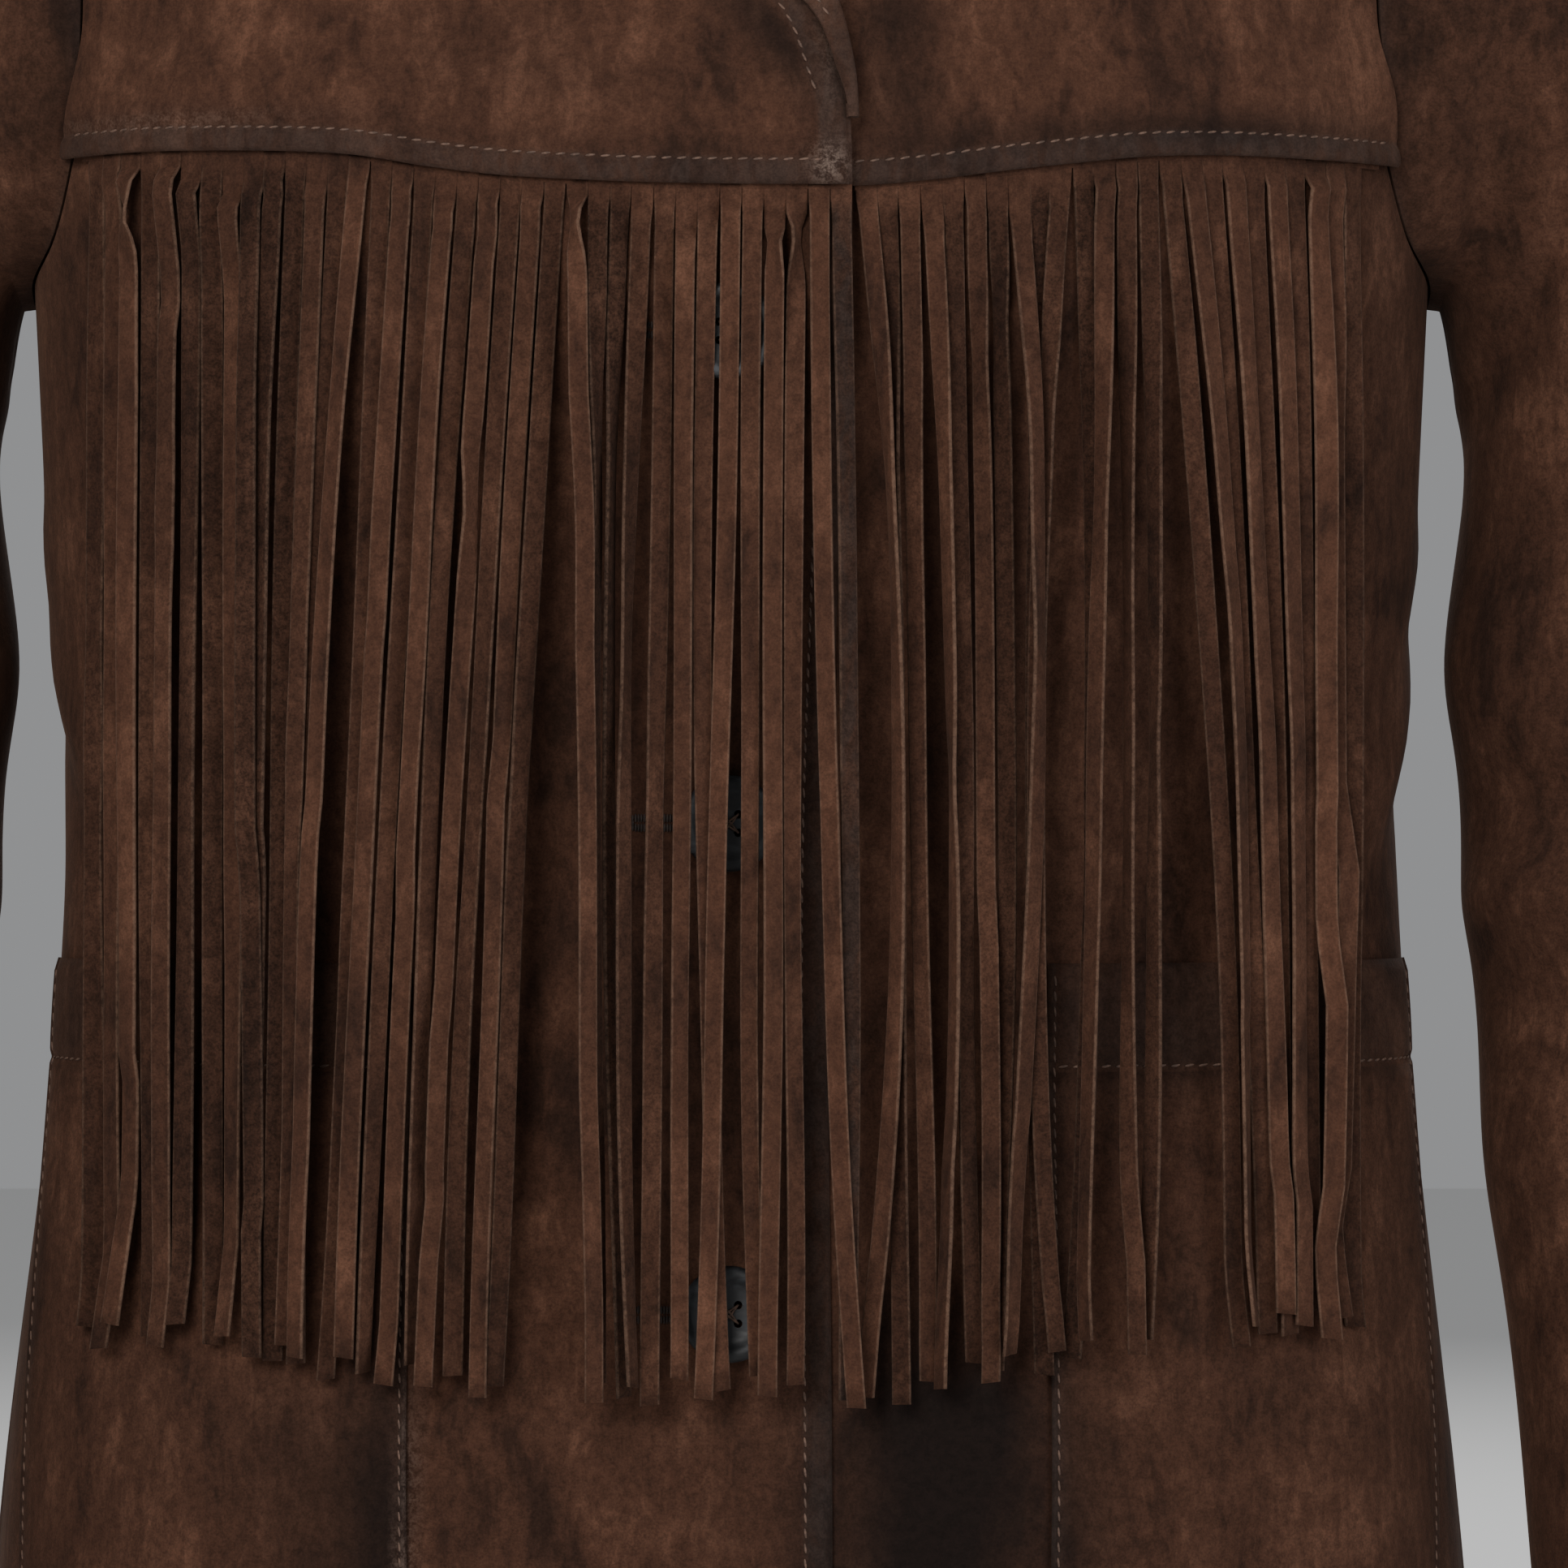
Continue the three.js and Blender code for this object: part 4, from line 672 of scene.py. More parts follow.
def inside(edges, u, v):
    low, high = edges["bottom"](u), edges["top"](u)
    near, far = edges["start"](v), edges["end"](v)
    corner = mix(mix(edges["bottom"](0), edges["bottom"](1), u),
                 mix(edges["top"](0), edges["top"](1), u), v)
    between, across = mix(low, high, v), mix(near, far, u)
    return tuple(between[i] + across[i] - corner[i] for i in (0, 1))


print("yoke's lower corner:", np.round(face_point(*yoke_edges(-1)["bottom"](0)), 1))

# %% [markdown]
# Every cloth piece starts as a flat grid, whose vertices are then laid on the form, as a
# pattern piece is laid on a dress stand. Its UV map is its place on the flat grid. A
# Solidify modifier gives the cloth its thickness inwards, and a small bevel softens the
# rims. "lines" are the shares of the grid's columns and rows, closer together at an edge.


# %% From a flat grid to cloth
def even(count):
    return np.linspace(0, 1, count + 1)


def closer(count, near_start=0.0, near_end=0.0, edge=6):
    """Shares from 0 to 1 with `edge` more lines in a narrow band at an end."""
    inner = np.linspace(near_start, 1 - near_end, count + 1)
    start = np.linspace(0, near_start, edge + 1)[:-1] if near_start else []
    end = np.linspace(1 - near_end, 1, edge + 1)[1:] if near_end else []
    return np.concatenate([start, inner, end])


def finer_at(lines, at, reach=0.012, count=13):
    """The same lines with more about one place, for the groove of a deep hem."""
    return np.union1d(lines, np.linspace(at - reach, at + reach, count))


def grid_mesh(points_of, columns, rows, ring=False):
    """A bmesh grid laid on points_of(u, v), with its values at the vertices."""
    bm = bmesh.new()
    uv = bm.loops.layers.uv.new("UVMap")
    size = {"x_segments": len(columns) - 1, "y_segments": len(rows) - 1, "size": 0.5}
    bmesh.ops.create_grid(bm, **size)
    bm.verts.ensure_lookup_table()
    flat = np.array([vertex.co[:2] for vertex in bm.verts]) + 0.5
    u = np.interp(flat[:, 0], even(len(columns) - 1), columns)
    v = np.interp(flat[:, 1], even(len(rows) - 1), rows)
    for face in bm.faces:
        for loop in face.loops:
            loop[uv].uv = (u[loop.vert.index], v[loop.vert.index])
    points, values = points_of(u, v)
    layers = {key: bm.verts.layers.float.new(key) for key in values}
    for i, vertex in enumerate(bm.verts):
        vertex.co = points[i] * MM
        for key, layer in layers.items():
            vertex[layer] = float(values[key][i])
    if ring:
        bmesh.ops.remove_doubles(bm, verts=bm.verts, dist=1e-6)
    return bm


def linked(name, bm):
    mesh = bpy.data.meshes.new(name)
    bm.to_mesh(mesh)
    bm.free()
    made = bpy.data.objects.new(name, mesh)
    bpy.context.collection.objects.link(made)
    return made


def finished(name, bm, material, nodes=()):
    piece = linked(name, bm)
    piece.data.materials.append(material)
    piece.data.shade_smooth()
    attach(piece, "root")
    if nodes:
        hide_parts(*nodes)
    return piece


def thickened(piece, thick, offset=-1.0, soft=0.4):
    """Cloth of even thickness whose cut rims are a little soft."""
    wall = piece.modifiers.new("thickness", "SOLIDIFY")
    wall.thickness = thick * MM
    wall.offset = offset
    wall.use_even_offset = False
    rims = piece.modifiers.new("rims", "BEVEL")
    rims.width = soft * MM
    rims.segments = 2
    rims.limit_method = "ANGLE"
    rims.angle_limit = math.radians(55)
    rims.profile = 0.5
    return piece


def flipped_out(bm, toward):
    """Turns the faces so that they look the way toward(centre) points."""
    bm.normal_update()
    votes = sum(
        1 if face.normal.dot(toward(face.calc_center_median())) > 0 else -1
        for face in bm.faces
    )
    if votes < 0:
        bmesh.ops.reverse_faces(bm, faces=bm.faces)


def from_axis(centre):
    return Vector((centre.x, centre.y, 0))


def shown(piece):
    counted = piece.evaluated_get(bpy.context.evaluated_depsgraph_get()).to_mesh()
    print(piece.name, "triangles:", sum(len(face.vertices) - 2 for face in counted.polygons))


SURFACES = {}


def cloth(name, points_of, columns, rows, toward, material, thick, offset=-1.0, ring=False):
    """A cloth piece in place of a solid: its grid, turned to look outwards, and thickened."""
    SURFACES[name] = points_of
    bm = grid_mesh(points_of, columns, rows, ring)
    flipped_out(bm, toward)
    piece = finished(name, bm, material, [name.removesuffix("_cloth")])
    shown(thickened(piece, thick, offset))


print("lines near an edge:", closer(4, 0.1, 0, 2).round(3))

# %% [markdown]
# The layers at the yoke's edge lie as they are sewn: the front, then the strip that the
# fringe is cut from, then the yoke over both. The right front also stands off the left one
# where they overlap, so that nothing shares a place. "from_edge" measures how far a point
# is from a worked edge, for the turned hem: a line of stitches sinks a groove beside it,
# and the turned cloth between groove and edge stands up a little.

# %% Layers and turned edges
HEADER_OUT = LAYER_GAP + STRIP
YOKE_OUT = HEADER_OUT + YOKE_GAP + CLOTH
OVERLAP_OUT = LAYER_GAP + CLOTH
TURNING = 6.3
GROOVE_WIDE = 1.3
GROOVE_DEEP = 0.5
TURNED_RISE = 0.35
ROUND_DROP = 0.7
ROUND_WIDE = 0.9
LEVEL_EDGES = ("bottom", "top")
OVERLAP_FROM, OVERLAP_TO = -78, -30
CROSSING_FROM, CROSSING_TO = 30, 80
SETTLES_FROM, SETTLES_TO = 22, 48


def overlap_out(place):
    x = face_point(*place)[..., 0]
    from_seam = np.abs(place[1] - (YOKE_Z + 6))
    crossing = 1 - step(from_seam, CROSSING_FROM, CROSSING_TO)
    return step(x, OVERLAP_FROM, OVERLAP_TO) * (OVERLAP_OUT + crossing * YOKE_OUT)


def settled(place):
    return YOKE_OUT * (1 - step(place[1] - YOKE_Z, SETTLES_FROM, SETTLES_TO))


def over_yoke(place):
    return settled(place) + overlap_out(place)


def no_layer(place):
    return np.zeros_like(np.asarray(place[1], float))


def under_fringe(side):
    return overlap_out if side < 0 else no_layer


def turned(distance, turning):
    """How far a turned edge stands out at a distance from its fold."""
    groove = -GROOVE_DEEP * hill((distance - turning) / GROOVE_WIDE)
    across = np.clip(distance / turning, 0, 1)
    swell = TURNED_RISE * np.sin(math.pi * across) ** 0.7 * (distance < turning)
    round_off = -ROUND_DROP * (1 - np.clip(distance / ROUND_WIDE, 0, 1)) ** 2
    return groove + swell + round_off


def from_edge(edges, u, v, side_name):
    """The distance from the panel's points to one of its edges, along the cloth."""
    level = side_name in LEVEL_EDGES
    share = (v if level else u) * 0 + (side_name in ("top", "end"))
    near = inside(edges, *((u, share) if level else (share, v)))
    here = inside(edges, u, v)
    mid = mix(near, here, 0.5)
    a, b, c = (face_point(*place) for place in (near, mid, here))
    return np.linalg.norm(b - a, axis=-1) + np.linalg.norm(c - b, axis=-1)


# %% [markdown]
# These patches are placed on the front one by one: each is a soft oval at x and z, so wide
# and so tall, leaning by some degrees, and it is darker above zero or paler below. Many stand
# for dye and brushing that are uneven on the hide. Others are painted shade: the hollow beside
# the right lapel's roll, the shadows that the right front and its lapel cast on the left yoke,
# the shade at the left yoke's edge by the armhole and, in part, the dark of the left front
# beside its front edge. The pale oval low on the left pocket is in part a painted highlight.
# Pale dust lies where the layers meet and on the pockets' edges.

# %% Patches of dye and painted shade
# Painted shade: the ovals at (7, -172), (44, -190), (44, -170) and (135, -200), and in part those
# between x 44 and 70 on the left front. In part painted light: the pale one at (130, -560).
PATCHES = table(
    "x z wide tall lean dark",
    (7, -172, 7, 26, 40, 0.9), (-60, -176, 26, 10, 0, 0.2), (-34, -190, 40, 8, -4, 0.25),
    (44, -190, 12, 14, 0, 0.7), (44, -170, 12, 8, 0, 0.8), (84, -202, 40, 6, 3, 0.35),
    (135, -200, 30, 5, 0, 0.6), (-112, -172, 16, 12, 20, -0.25), (96, -178, 24, 10, 0, -0.3),
    (60, -562, 30, 40, 0, 0.9), (44, -606, 28, 60, 0, 0.85), (44, -528, 18, 20, 0, 0.7),
    (70, -530, 12, 22, 0, 0.7), (-92, -560, 9, 40, 0, 0.8), (-106, -588, 16, 24, 0, 0.7),
    (-112, -545, 18, 18, 0, 0.5), (96, -575, 10, 40, 0, 0.3), (130, -560, 16, 30, 12, -0.25),
    (-45, -560, 22, 26, 0, -0.15), (110, -440, 30, 16, 0, 0.5), (112, -330, 12, 60, 0, 0.25),
    (62, -340, 16, 70, 0, 0.5), (-44, -330, 5, 80, 2, 0.15),
)
DUSTY = table(
    "x z wide tall share",
    (26, -210, 4.5, 5, 0.8), (-85, -585, 1.8, 22, 0.6), (-84, -548, 1.4, 24, 0.3),
    (-150, -196, 34, 2.2, 0.2), (26, -170, 2.5, 18, 0.25),
)


def dye_shade_and_dust(points):
    """How dark the front is at points, from dye and painted shade, and how dusty. The back has
    none.
    """
    x, y, z = points[:, 0], points[:, 1], points[:, 2]
    dark, dust = np.zeros_like(x), np.zeros_like(x)
    for patch in each_row(PATCHES):
        lean = math.radians(patch["lean"])
        off_x, off_z = x - patch["x"], z - patch["z"]
        across = (off_x * math.cos(lean) + off_z * math.sin(lean)) / patch["wide"]
        along = (off_z * math.cos(lean) - off_x * math.sin(lean)) / patch["tall"]
        dark = dark + patch["dark"] * hill(across, along)
    for spot in each_row(DUSTY):
        rub = hill((x - spot["x"]) / spot["wide"], (z - spot["z"]) / spot["tall"])
        dust = np.maximum(dust, spot["share"] * rub)
    return dark * (y < 0), dust * (y < 0)


print("patches:", len(PATCHES["x"]), "dusty places:", len(DUSTY["x"]))

# %% [markdown]
# A panel is cloth between four edges. Its turned edges are named with their turnings. A
# turned edge is greyed by wear and dark just inside its stitches, and a deep hem less so.
# On the right yoke the lapel hides some of the cloth beside the edge, so the turning is
# measured from where it comes out.

# %% Panels
FRONT_TURNING = 7.0
EDGE_TURNING = 7.3
HEM_TURNING = 30.0
FRONT_HEM_AT = 0.0586
BACK_HEM_AT = 0.042
DEEP_HEM = 12
WORN_EDGE, WORN_HEM = 0.8, 0.35
DARK_EDGE, DARK_HEM = 0.35, 0.3
PRESSED_DARK, PRESSED_AWAY, PRESSED_WIDE = 0.3, 3, 4
LAPEL_WIDTHS = table(
    "z width", (-204, 0.6), (-195, 0.8), (-186, 2.5), (-180, 3.2), (-173, 4.2), (-166, 6.5),
    (-150, 15), (-130, 27), (-90, 51), (-44, 73),
)
EDGES = {}


def lapel_cover(height):
    return smooth(LAPEL_WIDTHS, "z", "width", height)


def panel(name, edges, columns, rows, out, worked, material, thick=CLOTH, covers=None):
    """A cloth piece on the body, with its worked edges, and what covers its start."""
    def points_of(u, v):
        place = inside(edges, u, v)
        depth = out(place)
        worn, dark = np.zeros_like(u), np.zeros_like(u)
        for side_name, turning in worked.items():
            distance = from_edge(edges, u, v, side_name)
            if covers and side_name == "start":
                distance = np.maximum(distance - covers(face_point(*place)[..., 2]), 0)
            depth = depth + turned(distance, turning)
            band = 1 - step(distance, turning - 0.5, turning + 1.5)
            deep = turning > DEEP_HEM
            pressed = PRESSED_DARK * hill((distance - turning - PRESSED_AWAY) / PRESSED_WIDE)
            worn = np.maximum(worn, band * (WORN_HEM if deep else WORN_EDGE))
            dark = np.maximum.reduce([dark, pressed, band * (DARK_HEM if deep else DARK_EDGE)])
        points = on_body(place, depth)
        more, dust = dye_shade_and_dust(points)
        return points, {"worn": worn, "dark": dark + more, "dust": dust}
    EDGES[name] = edges
    cloth(name, points_of, columns, rows, from_axis, material, thick)


front_rows = finer_at(closer(96, 0.06, 0, 8), FRONT_HEM_AT)
back_rows = finer_at(closer(128, 0.05, 0, 8), BACK_HEM_AT)
yoke_rows = closer(64, 0.05, 0.05, 14)
front_worked = {"start": FRONT_TURNING, "bottom": HEM_TURNING}
for name, edges, columns, rows, out, worked, material, covers in (
    ("front_right_cloth", front_edges(-1), closer(44, 0.045, 0, 14), front_rows, overlap_out,
     front_worked, SUEDE_BODY, None),
    ("front_left_cloth", front_edges(1), closer(50, 0.04, 0, 8), front_rows, no_layer,
     front_worked, SUEDE_BODY, None),
    ("yoke_right_cloth", yoke_edges(-1), closer(90, 0.1, 0, 30), yoke_rows, over_yoke,
     {"bottom": TURNING, "start": EDGE_TURNING}, SUEDE_YOKE, lapel_cover),
    ("yoke_left_cloth", yoke_edges(1), closer(76), yoke_rows, settled,
     {"bottom": TURNING}, SUEDE_YOKE, None),
    ("back_cloth", back_edges(), even(110), back_rows, no_layer,
     {"bottom": HEM_TURNING}, SUEDE_BODY, None),
):
    panel(name, edges, columns, rows, out, worked, material, covers=covers)

# %% [markdown]
# A sleeve is one tube. Its first ring is the armhole, and the rings below it run from the
# underarm side to the outer side, as a bent arm holds them. Curves through the rings' sizes
# give as many rings as the cloth needs, and creases gather at the inner elbow.

# %% Sleeves
SLEEVE_RINGS = table(
    "ring inner_x inner_z outer_x outer_z deep forward",
    (0, 194, -242, 214, -55, 63, 0), (1, 195, -245, 237, -67, 65, 0),
    (2, 196, -249, 257, -92, 65, 0), (3, 197, -255, 272, -128, 64, 0),
    (4, 198, -263, 283, -172, 63, 0), (5, 198, -276, 290, -222, 61, 0),
    (6, 198, -300, 294, -272, 59, 1), (7, 198, -335, 295, -318, 57, 3),
    (8, 199, -368, 296, -357, 55, 5), (9, 200, -394, 297, -388, 54, 8),
    (10, 202, -420, 298, -416, 53, 12), (11, 205, -455, 298, -450, 50, 17),
    (12, 209, -497, 297, -492, 48, 23), (13, 213, -540, 296, -536, 46, 29),
    (14, 216, -580, 296, -577, 44, 34), (15, 218, -606, 296, -604, 43, 37),
    (16, 219, -622, 296, -620, 42.5, 39),
)
SLEEVE_BLEND = table("ring share", (-1, 0), (0, 0.3), (1, 0.65), (2, 0.9), (3, 1), (4, 1))
SLEEVE_FOLDS = table(
    "ring around slant wide tall depth",
    (8.4, 62, 14, 34, 0.6, -5), (9.3, 44, -12, 40, 0.55, 4.5), (10.3, 58, 10, 36, 0.6, -5.5),
    (11.4, 30, -10, 44, 0.7, 3.5), (7.2, 20, 16, 40, 0.7, 4), (5.2, 330, 22, 30, 0.9, -4),
    (4.2, 40, -24, 28, 1.1, -4), (13.2, 150, 12, 50, 0.8, -2.5), (12.2, 250, -14, 46, 0.8, 3),
    (9.6, 205, 8, 40, 0.9, 2.5),
)
SLEEVE_CREASES = table(
    "ring around slant wide tall depth",
    (8.9, 80, 26, 26, 0.3, -1.6), (9.8, 96, -18, 22, 0.3, -1.5), (7.8, 58, 30, 24, 0.32, 1.3),
    (10.8, 84, 12, 24, 0.34, -1.3), (6.4, 90, -30, 20, 0.4, -1.0), (3.4, 70, -34, 18, 0.7, -1.2),
    (2.8, 300, 30, 20, 0.8, -1.3), (4.8, 280, 22, 22, 0.6, 1.1), (9.1, 262, -20, 24, 0.4, 1.1),
    (10.2, 240, 14, 20, 0.36, -1.0), (12.8, 60, -16, 24, 0.4, 0.9), (14.1, 110, 10, 30, 0.4, -0.8),
    (13.6, 300, -12, 26, 0.4, 0.9), (6.9, 300, 18, 22, 0.4, -1.0),
)
SLEEVE_START = 0.7
SLEEVE_RING_COUNT = 17
RING_LENGTH = 60 / 2.7
CUFF_TURNING = 28.0
ARM_AXIS = Vector((0.247, -0.012, 0))
SIDES = (("right", -1), ("left", 1))


def sleeve_folds(folds, ring, around):
    depth = 0.0
    for fold in each_row(folds):
        down = (ring - fold["ring"]) / fold["tall"]
        off = around - fold["around"] - fold["slant"] * (ring - fold["ring"])
        off = (off + 900) % 360 - 180
        depth = depth + fold["depth"] * hill(down, off / fold["wide"])
    return depth


def armhole_loop(side, around, depth):
    """The armhole from the underarm up the front, over the shoulder and down the back."""
    t = around / 360
    rows = armhole_rows(side, NO_LIMIT, ARMHOLE_TOP_Z)
    front = route([underarm(side), *rows, shoulder_seam(side, False)(1)])
    back = backwards(back_armhole(side))
    near, far = front(t * 2), back(t * 2 - 1)
    place = tuple(np.where(t <= 0.5, near[i], far[i]) for i in (0, 1))
    points = on_body(place, -depth)
    points[..., 0] += side * SLEEVE_START
    return points


def sleeve_point(side, ring, around, depth):
    at = {name: smooth(SLEEVE_RINGS, "ring", name, ring) for name in SLEEVE_RINGS}
    turn = np.radians(around)
    reach_x, reach_z = at["outer_x"] - at["inner_x"], at["outer_z"] - at["inner_z"]
    length = np.hypot(reach_x, reach_z)
    fold = sleeve_folds(SLEEVE_FOLDS, ring, around) + sleeve_folds(SLEEVE_CREASES, ring, around)
    push = fold * step(ring, 0.6, 2) - depth
    middle_x = (at["inner_x"] + at["outer_x"]) / 2
    middle_z = (at["inner_z"] + at["outer_z"]) / 2
    swing = -np.cos(turn) * (length / 2 + push)
    x = side * (middle_x + swing * reach_x / length)
    y = -at["forward"] - np.sin(turn) * (at["deep"] + push)
    return np.stack([x, y, middle_z + swing * reach_z / length], axis=-1)


def sleeve(name, side):
    def points_of(u, v):
        around = 360 * u
        ring = v * SLEEVE_RING_COUNT - 1
        cuff = (1 - v) * SLEEVE_RING_COUNT * RING_LENGTH
        hem = turned(cuff, CUFF_TURNING) * (v > 0.5)
        end = sleeve_point(side, np.maximum(ring, 0), around, -hem)
        start = armhole_loop(side, around, 0)
        share = smooth(SLEEVE_BLEND, "ring", "share", ring)[..., None]
        moved = start.copy()
        moved[..., 0] += (end - start)[..., 0] * step(ring, -1, 0)
        points = moved + (end - moved) * share
        worn = WORN_EDGE * (1 - step(cuff, 0, 4)) + 0.5 * (1 - step(v, 0, 0.01))
        return points, {"worn": worn, "dark": 0.5 * hill(v / 0.03)}

    def outward(centre):
        return from_axis(centre) - ARM_AXIS * Vector((side, 1, 0))
    cloth(name, points_of, even(96), even(170), outward, SUEDE_BODY, CLOTH, ring=True)


for word, side in SIDES:
    sleeve(f"sleeve_{word}_cloth", side)

# %% [markdown]
# The patch pockets are made from the front's own points, moved out, so that they follow
# every fold under them. Their tops have a deep hem, stitched 27 mm down.

# %% Pockets
POCKET_TOP_Z = -417
POCKET_FOOT_Z = -592
POCKET_WIDTH = 132
POCKET_INNER_X = 83
POCKET_THICK = 1.5
POCKET_HEM = 27.0
POCKET_HEM_AT = 0.848
POCKET_TURNING = 1.8
POCKET_OUT = 0.8 + POCKET_THICK


def round_from(place, length):
    """The place a length round the body from another, at the same height."""
    angles = place[0] + np.sign(length) * np.linspace(0, 1.6, 800)
    gone = lengths_along(face_point(angles, place[1]))
    return float(np.interp(abs(length), gone, angles)), float(place[1])


def pocket_edges(side):
    top, foot = (spot_at(side * POCKET_INNER_X, z) for z in (POCKET_TOP_Z, POCKET_FOOT_Z))
    top_far, foot_far = (round_from(place, side * POCKET_WIDTH) for place in (top, foot))
    return {
        "bottom": straight(foot, foot_far), "top": straight(top, top_far),
        "start": straight(foot, top), "end": straight(foot_far, top_far),
    }


def pocket_out(place):
    return no_layer(place) + POCKET_OUT


worked = {"start": POCKET_TURNING, "end": POCKET_TURNING, "bottom": POCKET_TURNING}
worked["top"] = POCKET_HEM
columns = closer(36, 0.02, 0.02, 5)
rows = finer_at(closer(48, 0.016, 0, 5), POCKET_HEM_AT)
for word, side in SIDES:
    edges = pocket_edges(side)
    name = f"pocket_{word}_cloth"
    panel(name, edges, columns, rows, pocket_out, worked, SUEDE_BODY, POCKET_THICK)

# %% [markdown]
# The lapels are the fronts' own cloth, rolled back along the roll line. Across the roll the
# cloth goes up, over and down on the yoke, and the roll grows wider towards the collar.

# %% Lapels
def across_profile(profile, shares):
    """A point on each smooth section: profile[k][i] is the k-th mark of the i-th section."""
    marks = np.stack(profile)
    last = len(profile) - 1
    where = np.clip(shares * last, 0, last - 1e-6)
    k = where.astype(int)
    frac = (where - k)[:, None]
    each = np.arange(len(shares))
    p0, p1, p2, p3 = (marks[np.clip(k + j, 0, last), each] for j in (-1, 0, 1, 2))
    leave, arrive = (p2 - p0) / 2, (p3 - p1) / 2
    bend = 3 * (p2 - p1) - 2 * leave - arrive
    curl = 2 * (p1 - p2) + leave + arrive
    return p1 + leave * frac + bend * frac**2 + curl * frac**3


LAPEL_THICK = 1.5
GORGE_Z = -40
LAPEL_FOOT_Z = {-1: -199, 1: -135}
LAPEL_NARROW = 0.8
LAPEL_CLOSE = 1.3
LAPEL_LOW = 2.0
LAPEL_FILLS = (3, 18)
ROLL_MARKS = ((1.5, -0.7), (3.4, 0.8), (3.6, 3), (1.8, 5))
LEAF_START, LEAF_START_RISE = 5, 5.8
LEAF_MARKS = ((0.55, 5.3), (0.8, 4.6), (1, 4))
LAPEL_STITCH_IN = 5.0


def lapel_width(side, v, z):
    """How wide the lapel is. The left one starts under the right and widens late."""
    late = step(v, -0.05, 0.5) if side > 0 else 1.0
    return LAPEL_NARROW + (lapel_cover(z) - LAPEL_NARROW) * late


def lapel(name, side):
    rolls = ROLLS[side]
    ends = np.linspace(0, 1, 1200)
    line = through(np.stack([rolls["x"], rolls["z"]], axis=1), ends)
    start, stop = np.interp([LAPEL_FOOT_Z[side], GORGE_Z], line[:, 1], ends)
    out = over_yoke if side < 0 else settled

    def points_of(u, v):
        t = start + (stop - start) * v
        before, at, after = (read_at(t + shift, ends, line) for shift in (-0.004, 0, 0.004))
        along = unit(after - before)
        away = np.stack([along[:, 1] * side, -along[:, 0] * side], axis=-1)
        width = lapel_width(side, v, at[:, 1])

        def over(distance, rise):
            spot = at + away * np.asarray(distance)[..., None]
            place = place_at(spot[:, 0], spot[:, 1])
            return on_body(place, out(place) + rise)
        outward = unit(over(np.ones_like(u), 0) - over(np.zeros_like(u), 0))
        flat = over(np.zeros_like(u), 0)
        lift = over(np.zeros_like(u), 1) - flat
        full = step(width, *LAPEL_FILLS)
        close = full[:, None]

        def round_roll(inward, rise):
            inward = LAPEL_CLOSE + (inward - LAPEL_CLOSE) * close
            return flat - outward * inward + lift * (rise * (0.4 + 0.6 * close))

        def laid(distance, rise):
            return over(distance, LAPEL_LOW + (rise - LAPEL_LOW) * full)
        profile = [
            *[round_roll(inward, rise) for inward, rise in ROLL_MARKS],
            laid(np.minimum(LEAF_START, 0.3 * width), LEAF_START_RISE),
            *[laid(share * width, rise) for share, rise in LEAF_MARKS],
        ]
        rim = (1 - u) * width * 0.7
        worn = np.maximum(0.75 * (1 - step(rim, 4, 7)), 0.45 * hill((u - 0.4) / 0.1))
        dark = 0.25 * hill((rim - 9) / 4) + 0.3 * (1 - full)
        return across_profile(profile, u), {"worn": worn, "dark": dark}
    toward = Vector((side * 0.3, -1, 0))
    cloth(name, points_of, even(42), even(110), lambda _: toward, SUEDE_YOKE, LAPEL_THICK, 0)


for word, side in SIDES:
    lapel(f"lapel_{word}_cloth", side)

# %% [markdown]
# The collar has a stand that rises from the neck seam, a fold, and a leaf that falls over
# it to the shoulders. Eight stations from the centre back to the front end give half of it.

# %% Collar
COLLAR_STATIONS = (
    (0, None, 29, 0, 82), (32, None, 29, 40, 79), (56, None, 28, 76, 65),
    (69, None, 26, 100, 38), (74, None, 22, 113, 4), (71, -10, 19, 117, -14),
    (67, -22, 14, 118, -34), (61, -36, 8, 113, -56),
)
COLLAR_CLEAR = 4
COLLAR_LIFT = 2
COLLAR_SEAM_IN = 1.2
STAND_LEAN = 0.12
COLLAR_SECTION = 80


def top_z(x, y):
    """The height of the shoulders, seen from above."""
    z = float(shoulder_seam_z(x))
    for _ in range(12):
        angle, _ = place_at(x, min(z, 0), y > 0)
        low = min(z, float(shoulder_seam_z(x)) - SHOULDER_ROUND)
        away = abs(float(face_point(angle, low)[1]))
        share = min(abs(y) / away, 0.98)
        z = float(shoulder_seam_z(x)) - SHOULDER_ROUND * (1 - math.sqrt(1 - share * share))
    return z


def neck_edge(seam_x, seam_z):
    if seam_z is not None:
        return on_body(place_at(seam_x, seam_z), COLLAR_LIFT)
    x = min(seam_x, NECK_HALF + 2)
    return on_body(place_at(x, back_neck_z(x), True), COLLAR_LIFT)


